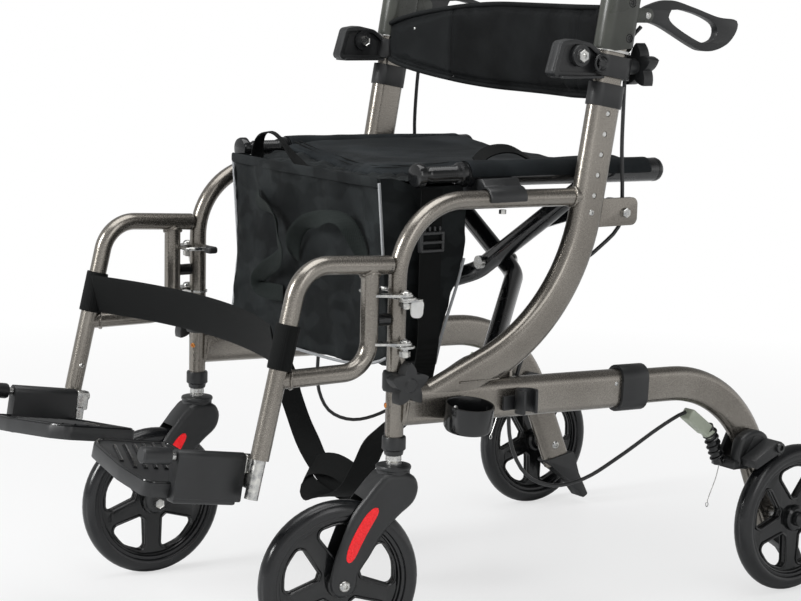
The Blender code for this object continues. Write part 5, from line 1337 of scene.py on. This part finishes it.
def rail_sleeve():
    """The seat's hem over the upper half of the rail."""
    rows = []
    for i in range(37):
        y = 119 + 8 * i
        ring = arc_points((RAIL_X, rail_z(y)), 16.2, -8, 200, 16)
        rows.append([Vector((x, y, z)) for x, z in ring])
    return crumple(subdivided(thickened(skin(rows), 1.2)), 0.9, 15, 6.1, (1, 0.5, 1))


def mirrored_away(solid):
    twin = mirrored(solid)
    bpy.data.objects.remove(solid)
    return twin


def make_links():
    foot = Vector(LINK_FOOT)
    tip = Vector(LINK_TIP)
    turn = math.degrees(math.atan2(tip.y - foot.y, tip.x - foot.x))
    outline = arc_points(tip, 8, turn - 90, turn + 90, 14) + arc_points(foot, 7, turn + 90, turn + 270, 14)
    for side, name, outwards in ((1, "left", ALONG_Y), (-1, "right", BACK_ALONG_Y)):
        y = BRACE_Y + side * 3.3
        bar = front_plate(outline, 5, y, edge=0.8)
        head = dome_bolt(6, 3.5, outwards, (tip.x, y + side * 2.5, tip.y))
        if side < 0:
            bar, head = mirrored_away(bar), mirrored_away(head)
        settle(bar, f"{name}_link_bar", STEEL, f"{name}_link", f"{name}_fold_link")
        settle(head, f"{name}_link_bolt", ZINC, f"{name}_link")


# Cup and clip


def make_cane_holder():
    """A slightly tilted cup, and behind it an open clip with a ridge at each end."""
    profile = ((0, 284.6), (24, 284.6), (26.4, 287), (27, 313.5), (27.6, 315), (29.2, 315), (29.5, 313.8),
               (29, 287), (26.5, 282.6), (24.5, 282), (0, 282))
    cup = turned(profile, at((FRAME_X + 42.3, 80, 0)), 56)
    wall = at((FRAME_X + 13, 80, 300))
    cup.data.transform(wall @ Matrix.Rotation(math.radians(8), 4, "Y") @ wall.inverted())
    settle(cup, "cane_cup_shell", GLOSSY, "left_frame", "cane_cup")
    settle(dome_bolt(4.2, 2.2, ALONG_X, (FRAME_X + 15.5, 80, 300)), "cup_screw", ZINC, "left_frame")
    centre = (FRAME_X + 29.8, 177)
    outline = arc_points(centre, 14, 50, 310, 26) + arc_points(centre, 10, 310, 50, 26)
    clip = plate(outline, 29, TOP_VIEW, 301.5, edge=1.2)
    foot = block((FRAME_X + 12.8, 152, 289.5), (FRAME_X + 17.3, 202, 307.5), 1.5)
    ridges = [rod(2.2, -14, 14, ALONG_Z, (*point, 301.5), 12) for point in arc_points(centre, 12, 52, -52, 1)]
    settle(merged(clip, foot, *ridges), "cane_clip_body", PLASTIC, "left_frame", "cane_clip")


# Cloth


def seat_front(x):
    """Where the seat's front edge lies: it comes to a blunt point left of the middle."""
    return along_profile(((-185, 103), (-60, 98), (30, 72), (62, 64), (126, 88), (185, 112)), x)


def hung_between_rails(piece):
    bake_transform(piece)


def make_seat():
    """A padded sling between the rails: its edges ride up on them, and its front edge hangs slack."""

    def surface(u, v, face):
        x = 185 * u
        front = seat_front(x)
        y = front + (414 - front) * (v + 1) / 2
        edge = (1 - abs(u) ** 10) ** 0.3 * (1 - abs(v) ** 16) ** 0.3
        z = 565 + 15 * u * u + 3 * abs(u) ** 6
        droop = 5 * (1 - u * u) * share_between(-v, 0.86, 1)
        return Vector((x, y, z - droop + face * 6 * edge))

    seat = stuffed(pad(26, 26, surface), 3, 3)
    seat = crumple(crumple(seat, 3.2, 90, 3.1, (1, 0.5, 1)), 1.2, 26, 5.2, (1, 0.6, 1))
    settle(seat, "seat_pad", CLOTH, None, "seat", 70)
    hung_between_rails(seat)
    seams = []
    for inset in (10, 17):
        path = [surface(i / 20, 2 * inset / 311 - 1, 1) + Vector((0, 0, 2.4)) for i in range(-18, 19)]
        seams.append(tube(path, 0.7, 6))
    hem = crumple(merged(*seams), 2, 60, 3.1)
    settle(hem, "seat_seams", WEB, None)
    hung_between_rails(hem)
    pull = smooth_path([(-151, 45, 553), (-152, 45, 580), (-141, 45, 598), (-119, 45, 603), (-98, 45, 597),
                        (-73, 46, 580), (-45, 48, 563), (-30, 50, 552)], 5)
    strap = ribbon(pull, lambda share: turned_across(54 + 80 * math.sin(math.pi * share)), 17, 1.8)
    settle_on_bag(strap, "pull_strap", WEB)
    grab = smooth_path([(163, 165, 584), (161, 180, 594), (160, 200, 599), (161, 222, 598), (164, 240, 590),
                        (166, 252, 582)], 5)
    loop = ribbon(grab, lambda share: (0.86, 0, -0.5), 18, 2)
    settle(loop, "seat_loop", WEB, None)
    hung_between_rails(loop)


def turned_across(degrees):
    """A level direction, turned from +X towards +Y."""
    angle = math.radians(degrees)
    return math.cos(angle), math.sin(angle), 0


BAG_FRONT = ((335, 28), (386, 24), (478, 15.6), (572, 7))
BAG_RIGHT_BACK = ((335, 1), (369, 3), (440, 17), (500, 18), (572, 19))
BAG_REAR = ((335, 93), (379, 104), (437, 125), (491, 141), (572, 141))
BAG_TOP_Z = 571
BAG_SIDE_STEPS = (0.02, 0.08, 0.2, 0.35, 0.5, 0.65, 0.8, 0.92, 0.98)
BAG_HALF = 182


def settle_on_bag(solid, name, finish, node=None, sharp=35):
    """A piece of the bag, placed on the left frame with a mesh of its own."""
    settle(solid, name, finish, "left_frame", node, sharp)
    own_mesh(solid)


def bag_front(x, z):
    """The bag's front leans in towards its foot, and lies further back on the right."""
    from_left = (BAG_HALF - x) / 2 / BAG_HALF
    return along_profile(BAG_FRONT, z) + along_profile(BAG_RIGHT_BACK, z) * from_left**3


def bag_low(x):
    return 332 + 22 * (abs(x) / BAG_HALF) ** 4


def bag_side(x, back, share):
    """A point of the bag's side at a height, at a share of the way back from its front."""
    z = 342 + (BAG_TOP_Z - 12 * share_between(back, 0.2, 0.4) - 342) * share
    front = bag_front(x, z)
    return x, front + (along_profile(BAG_REAR, z) - front) * back, z


def bag_fold(x, z):
    """How far the front is drawn in by its creases."""
    creases = ((-128, 548, -0.9, 12, 5), (-60, 470, -0.35, 14, 5), (30, 540, 0.5, 13, 4),
               (96, 450, 0.25, 16, 5), (140, 530, -0.2, 10, 4), (-20, 390, 0.9, 14, 4))
    depth = 0
    for middle, height, lean, wide, deep in creases:
        off = x - middle - lean * (z - height)
        depth += deep * math.exp(-(off / wide) ** 2 - ((z - height) / 60) ** 2)
    return depth


def bag_ring(share, inset=0.0):
    """The bag's outline at a share of its height, from its front right corner round to the right."""
    points = []
    for i in range(33):
        x = BAG_HALF * math.sin(math.pi / 2 * (i / 16 - 1))
        z = bag_low(x) + (BAG_TOP_Z - bag_low(x)) * share
        points.append((x, bag_front(x, z) + bag_fold(x, z) * (1 - (x / BAG_HALF) ** 8), z))
    for back in BAG_SIDE_STEPS:
        x, y, z = bag_side(BAG_HALF, back, share)
        points.append((x + 4 * math.sin(math.pi * back) * math.sin(math.pi * share), y, z))
    for i in range(17):
        z = 333 + (558 - 333) * share
        points.append((BAG_HALF - BAG_HALF * i / 8, along_profile(BAG_REAR, z), z))
    points += [bag_side(-BAG_HALF, back, share) for back in reversed(BAG_SIDE_STEPS)]
    middle = Vector((0, 62, 340))
    return [Vector(point).lerp(middle, inset) for point in points]


def make_bag():
    """A sewn bag, open at the top under the slack front edge of the seat."""
    rows = [bag_ring(0, inset) for inset in (0.99, 0.6, 0.25)] + [bag_ring(i / 22) for i in range(23)]
    shell = subdivided(skin(rows, closed_v=True))
    shell = crumple(crumple(shell, 5, 46, 7.7, (1, 1, 0.7)), 1.8, 17, 2.3)
    settle_on_bag(thickened(shell, 1.6, -1), "bag_shell", SHINY, "bag", 70)
    make_bag_mouth()
    make_bag_edges()
    make_bag_handles()


def make_bag_mouth():
    """The crumpled lining between the bag's front and the seat."""
    rows = []
    for i in range(31):
        x = -176 + 352 * i / 30
        front = bag_front(x, 560) + 4
        back = seat_front(x) + 8
        rise = 5 + 14 * (x / 185) ** 2
        rows.append([Vector((x, front + (back - front) * j / 8, 555 + rise * (j / 8) ** 0.5 + 2 * (i % 2)))
                     for j in range(9)])
    lining = crumple(subdivided(thickened(skin(rows), 1.4)), 7, 17, 4.4)
    settle_on_bag(lining, "bag_lining", SHINY, sharp=60)


def make_bag_edges():
    edges = []
    for x, foot in ((-182.5, 354), (183, 450)):
        path = [(x, bag_front(x, z) - 0.5, z) for z in range(566, foot, -18)]
        edges.append(tube(smooth_path(path, 6), 1.9, 10))
    rear = [(184, along_profile(BAG_REAR, z), z) for z in range(470, 340, -16)]
    edges.append(tube(smooth_path(rear, 6), 1.9, 10))
    low = [(x, bag_front(x, 345) - 1, bag_low(x) + 2) for x in range(-176, 181, 12)]
    edges.append(tube(smooth_path(low + [(183, 28, 360)], 6), 1.9, 10))
    settle_on_bag(merged(*edges), "bag_piping", PIPING)
    rows = []
    for i in range(37):
        x = BAG_HALF * (i / 18 - 1)
        y = bag_front(x, 566) - 2.4
        rows.append([Vector((x, y + 1.2 * math.sin(x / 21), z)) for z in (560, 566, 573)])
    settle_on_bag(subdivided(thickened(skin(rows), 2.2)), "bag_binding", SHINY)


HANDLE_LOOPS = {
    "left": ([(-14, 452), (-8, 466), (8, 486), (37, 503), (70, 512), (108, 519), (129, 513), (140, 492),
              (146, 468)], 60),
    "right": ([(-108, 524), (-88, 516), (-55, 511), (-34, 498), (-30, 478), (-22, 460), (-38, 446), (-70, 432),
               (-100, 413), (-92, 403), (-48, 402)], 40)}


def make_bag_handles():
    """Two wide webbing loops that stand off the front, twisted where they hang slack."""
    for name, (points, twist) in HANDLE_LOOPS.items():
        count = len(points) - 1
        route = [(x, bag_front(x, z) - 3 - 16 * math.sin(math.pi * i / count), z)
                 for i, (x, z) in enumerate(points)]
        path = smooth_path(route, 7)

        def across(share, path=path, twist=twist):
            place = share * (len(path) - 1)
            near = min(len(path) - 2, int(place))
            ahead = (path[near + 1] - path[near]).normalized()
            face = Vector((0, -1, 0)).cross(ahead).normalized()
            return Matrix.Rotation(math.radians(twist * math.sin(math.tau * share)), 3, ahead) @ face

        settle_on_bag(subdivided(ribbon(path, across, 22, 2.2)), f"bag_handle_{name}", MESH)


BAND_HALF = 213.6
BAND_SEAM_X = -110


def band_line(share):
    """The band's middle plane and its lower and upper edge, from the right end (-1) to the left (1)."""
    low, high = (663, 777) if share > 0 else (695, 738)
    full = math.cos(math.pi / 2 * min(abs(share), 0.9999)) ** 0.6
    turned_back = 22 * share_between(share, 0.75, 1)
    return 294 + 50 * (1 - share**2) + turned_back, low + (661 - low) * full, high + (776 - high) * full


def make_backrest():
    """A padded band that sags rearwards, with a flat sewn end on the right."""

    def surface(u, v, face):
        middle, low, high = band_line(u)
        x = BAND_HALF * u
        stuffing = 4.4 + 2.2 * share_between(x, BAND_SEAM_X - 6, BAND_SEAM_X + 10)
        rim = (1 - abs(v) ** 6) ** 0.35 * (1 - abs(u) ** 20) ** 0.3
        return Vector((x, middle - face * stuffing * rim, (low + high) / 2 + (high - low) / 2 * v))

    band = crumple(stuffed(pad(44, 14, surface), 3, 2.5, 3.6), 1.4, 38, 1.3)

    def sewn(place):
        """Channels at the end of the stuffing and along the edges."""
        low, high = band_line(max(-1, min(1, place.x / BAND_HALF)))[1:]
        depth = 2.2 * math.exp(-((place.x - BAND_SEAM_X) / 2.6) ** 2)
        depth += 1.6 * math.exp(-((place.x - 178) / 3) ** 2)
        for line in (low + 9, high - 9):
            depth += 1.1 * math.exp(-((place.z - line) / 2.4) ** 2)
        return -depth

    settle(pushed(band, sewn), "backrest_pad", PADDED, "left_handle", "backrest_band", 70)
    pieces = [band]
    for name, v in (("top", 0.955), ("bottom", -0.955)):
        line = [surface(0.985 * i / 40, v, 0.6) for i in range(-40, 41)]
        pieces.append(settle(tube(line, 3.4, 12), f"backrest_{name}_piping", PADDED, "left_handle"))
    rivet = dome_bolt(2, 1.4, BACK_ALONG_Y, (-168, band_line(-0.79)[0] - 6.6, 736))
    pieces.append(settle(rivet, "backrest_rivet", WHITE, "left_handle"))
    for piece in pieces:
        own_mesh(piece)


def make_calf_strap():
    """The strap sags back between the front tubes and is turned round each of them."""
    end = FRAME_X - 13
    path = []
    rows = []
    for i in range(29):
        across = math.cos(math.pi * i / 28)
        point = Vector((end * across, -118 - 40 * across**2, 391))
        lean = 1.5 / 26 * math.sin(math.pi * i / 28) - 0.23
        path.append(point)
        rows.append([point + Vector((0, lean * h, h)) for h in (-25.5, -12, 0, 12, 25.5)])
    strap = subdivided(thickened(skin(rows), 2.4))
    settle(strap, "calf_strap_band", WEB, "left_rest", "calf_strap", 70)
    0.001 * length_of(path)
    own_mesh(strap)
    along = down_the_rest()
    wrap = turned(both_ways([(11.4, 26), (13.6, 26), (14, 24)]),
                  at(Vector((FRAME_X, *REST_END)) - along * 130, pointing(-along)), 32)
    pair(wrap, "calf_strap_wrap", WEB, "rest")


BELT = [(201, 71, 559), (201, 71, 440), (199, 71, 360), (172, 71, 290), (130, 71, 256), (97, 70, 230),
        (76, 68, 196), (48, 66, 160), (8, 64, 142), (-36, 64, 138), (-60, 68, 150), (-50, 74, 170),
        (-12, 79, 178), (26, 83, 170), (30, 87, 154), (0, 88, 148), (-34, 84, 160), (-56, 78, 184),
        (-80, 75, 214), (-106, 72, 256), (-128, 71, 294), (-189, 71, 335), (-201, 71, 400), (-201, 71, 470),
        (-201, 71, 559)]


def make_belt():
    """The webbing hangs from both rails, and its slack lies gathered in two folds at the bottom."""
    path = smooth_path(BELT, 10)

    def across(share):
        loose = share_between(share, 0.16, 0.3) * (1 - share_between(share, 0.78, 0.88))
        gathered = share_between(share, 0.4, 0.47) * (1 - share_between(share, 0.62, 0.7))
        return Vector(turned_across(90 - 40 * loose)).lerp(Vector((0.1, 0.45, 0.88)), gathered).normalized()

    belt = ribbon(path, across, 31, 1.8)
    settle(belt, "belt_webbing", WEB, "left_frame", "seat_belt")
    0.001 * length_of(path)
    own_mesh(belt)
    bars = [block((198, 54, z), (206.5, 88, z + 4), 1.5) for z in (504, 493, 483)]
    sides = [block((198.4, y, 483), (206, y + 4, 508), 1.5) for y in (53.5, 84.5)]
    teeth = [block((199, y, 508), (205, y + 3.4, 514), 1) for y in (58, 65.5, 73, 80.5)]
    settle(merged(*bars, *sides, *teeth), "belt_buckle", PLASTIC, "left_frame")


# Cables


def cable_route():
    x = FRAME_X
    return [(x - 13, 352, 719), (x - 13, 352, 690), (x - 11, 350, 650), (x - 9.5, 349, 600), (x - 9, 352, 548),
            (x - 9, 350, 505), (x - 15, 322, 476), (x - 16, 281, 450), (x - 16, 244, 410), (x - 16, 212, 360),
            (x - 16, 193, 310), (x - 16, 187, 270), (x - 12, 192, 230), (x - 8, 214, 196), (x - 6, 255, 179),
            (x - 4, 305, 183), (x - 3, 361, 205), (x - 2, 420, 233), (x, CONNECTOR[0] - 18, CONNECTOR[1] - 3),
            (x, CONNECTOR[0] - 2, CONNECTOR[1] + 1.4)]


def make_cables():
    path = smooth_path(cable_route(), 12)
    for side, sign in (("left", 1), ("right", -1)):
        points = [DRAWN @ Vector((sign * p.x, p.y, p.z)) for p in path]
        cable = new_curve(points)
        cable.data.bevel_depth = 0.0025
        cable.data.bevel_resolution = 3
        cable.data.use_fill_caps = True
        cable.name = f"{side}_cable_sheath"
        cable.data.materials.append(SHEATH.material)
        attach(cable, f"{side}_frame")
        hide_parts(f"{side}_brake_cable")
        length_of(points)
    upper = smooth_path([(FRAME_X - 13, 352, 719.4), (FRAME_X - 10, 358, 738), (FRAME_X, 364, 752)], 5)
    pair(tube(upper, 2.5, 12), "lever_cable", SHEATH, "handle")


# Floor, light and camera


def make_floor():
    """A pale floor that keeps the object's soft shadow. It is whiter further off, to the eye and in metal."""
    mesh = bpy.data.meshes.new("floor")
    mesh.from_pydata([(-14, -14, 0), (14, -14, 0), (14, 14, 0), (-14, 14, 0)], [], [(0, 1, 2, 3)])
    floor = linked("floor", mesh)
    finish = Finish("floor", "floor", (0.86, 0.87, 0.875), 0.35)
    finish.feed("Roughness", 0.32 + finish.noise(3, 2) * 0.1)
    away = finish.node("ShaderNodeVectorMath", {"operation": "LENGTH"}, {0: finish.place()}, "Value")
    camera, through, glossy = finish.rays("Camera", "Transmission", "Glossy")
    glow = finish.node("ShaderNodeEmission", {}, {"Color": (1, 1, 1, 1), "Strength": 1.0})
    seen = (camera + through) * (0.66 + away.between(0.5, 2.2) * 0.34)
    share = seen + glossy * away.between(1.8, 7) * 0.85
    lit = Value(finish, finish.shader.outputs[0])
    mix = finish.node("ShaderNodeMixShader", {}, {0: share, 1: lit, 2: glow})
    finish.put(finish.tree.nodes["Material Output"].inputs["Surface"], mix)
    mesh.materials.append(finish.material)


def make_world():
    """White to the eye and through glass. As a light it is grey, brightest low at the rear left."""
    world = bpy.data.worlds.new("studio")
    bpy.context.scene.world = world
    sky = Nodes(world)
    camera, through, glossy = sky.rays("Camera", "Transmission", "Glossy")
    where = sky.node("ShaderNodeTexCoord", {}, {}, "Generated")

    def towards(direction, low, high):
        vectors = {0: where, 1: direction}
        product = sky.node("ShaderNodeVectorMath", {"operation": "DOT_PRODUCT"}, vectors, "Value")
        return product.between(low, high)

    horizon = towards((0, 0, 1), 0.6, 0.1) * (0.2 + towards((0.86, 0.5, 0), -0.1, 0.7) * 0.75)
    lit = 0.13 + towards((-0.35, -0.75, 0.56), -0.3, 0.9) * 0.24 + glossy * horizon
    background = sky.tree.nodes["Background"]
    background.inputs["Color"].default_value = (1, 1, 1, 1)
    sky.put(background.inputs["Strength"], lit + (camera + through) * (1 - lit))


def make_lamp(name, place, target, size, power):
    light = bpy.data.lights.new(name, "AREA")
    light.energy = power
    light.shape = "RECTANGLE"
    light.size, light.size_y = size
    lamp = linked(name, light)
    lamp.location = place
    lamp.rotation_euler = (Vector(target) - Vector(place)).to_track_quat("-Z", "Y").to_euler()


def make_camera():
    """The photograph's own view: 801 by 601, from the seated person's front left, a little above the seat."""
    azimuth, elevation, roll = (math.radians(a) for a in (54.1661, 9.8311, 1.3822))
    level = Vector((math.sin(azimuth), -math.cos(azimuth), 0))
    back = level * math.cos(elevation) + Vector((0, 0, math.sin(elevation)))
    right = Vector((math.cos(azimuth), math.sin(azimuth), 0))
    up = back.cross(right)
    right, up = right * math.cos(roll) + up * math.sin(roll), up * math.cos(roll) - right * math.sin(roll)
    camera = linked("camera", bpy.data.cameras.new("camera"))
    turn = Matrix((right, up, back)).transposed().to_4x4()
    camera.matrix_world = Matrix.Translation((2.1985, -1.3986 - MIDDLE / 1000, 0.809)) @ turn
    width = 801
    camera.data.sensor_width = 36
    camera.data.lens = 2092.99 / width * 36
    camera.data.shift_x = (400.5 - 409.74) / width
    camera.data.shift_y = (337.25 - 300.5) / width
    camera.data.clip_end = 100
    bpy.context.scene.camera = camera


make_camera()
make_cables()
make_world()
make_floor()
make_lamp("overhead", (0.1, -0.3, 3.2), (0, 0, 0.4), (2.6, 2.6), 58)
make_lamp("front_left", (-0.6, -3.5, 2.2), (0, 0, 0.4), (0.8, 1.6), 108)
make_lamp("near_side", (3.6, -0.2, 2.2), (0, 0.1, 0.4), (1.0, 2.2), 16)
make_side_frames()
make_collars()
make_handles()
make_rear_legs()
make_brakes()
make_wheels()
make_casters()
make_post_knobs()
make_leg_rests()
make_footrests()
make_saddles()
make_braces()
make_cane_holder()
make_seat()
make_bag()
make_backrest()
make_calf_strap()
make_belt()
bpy.context.scene.view_settings.view_transform = "Standard"
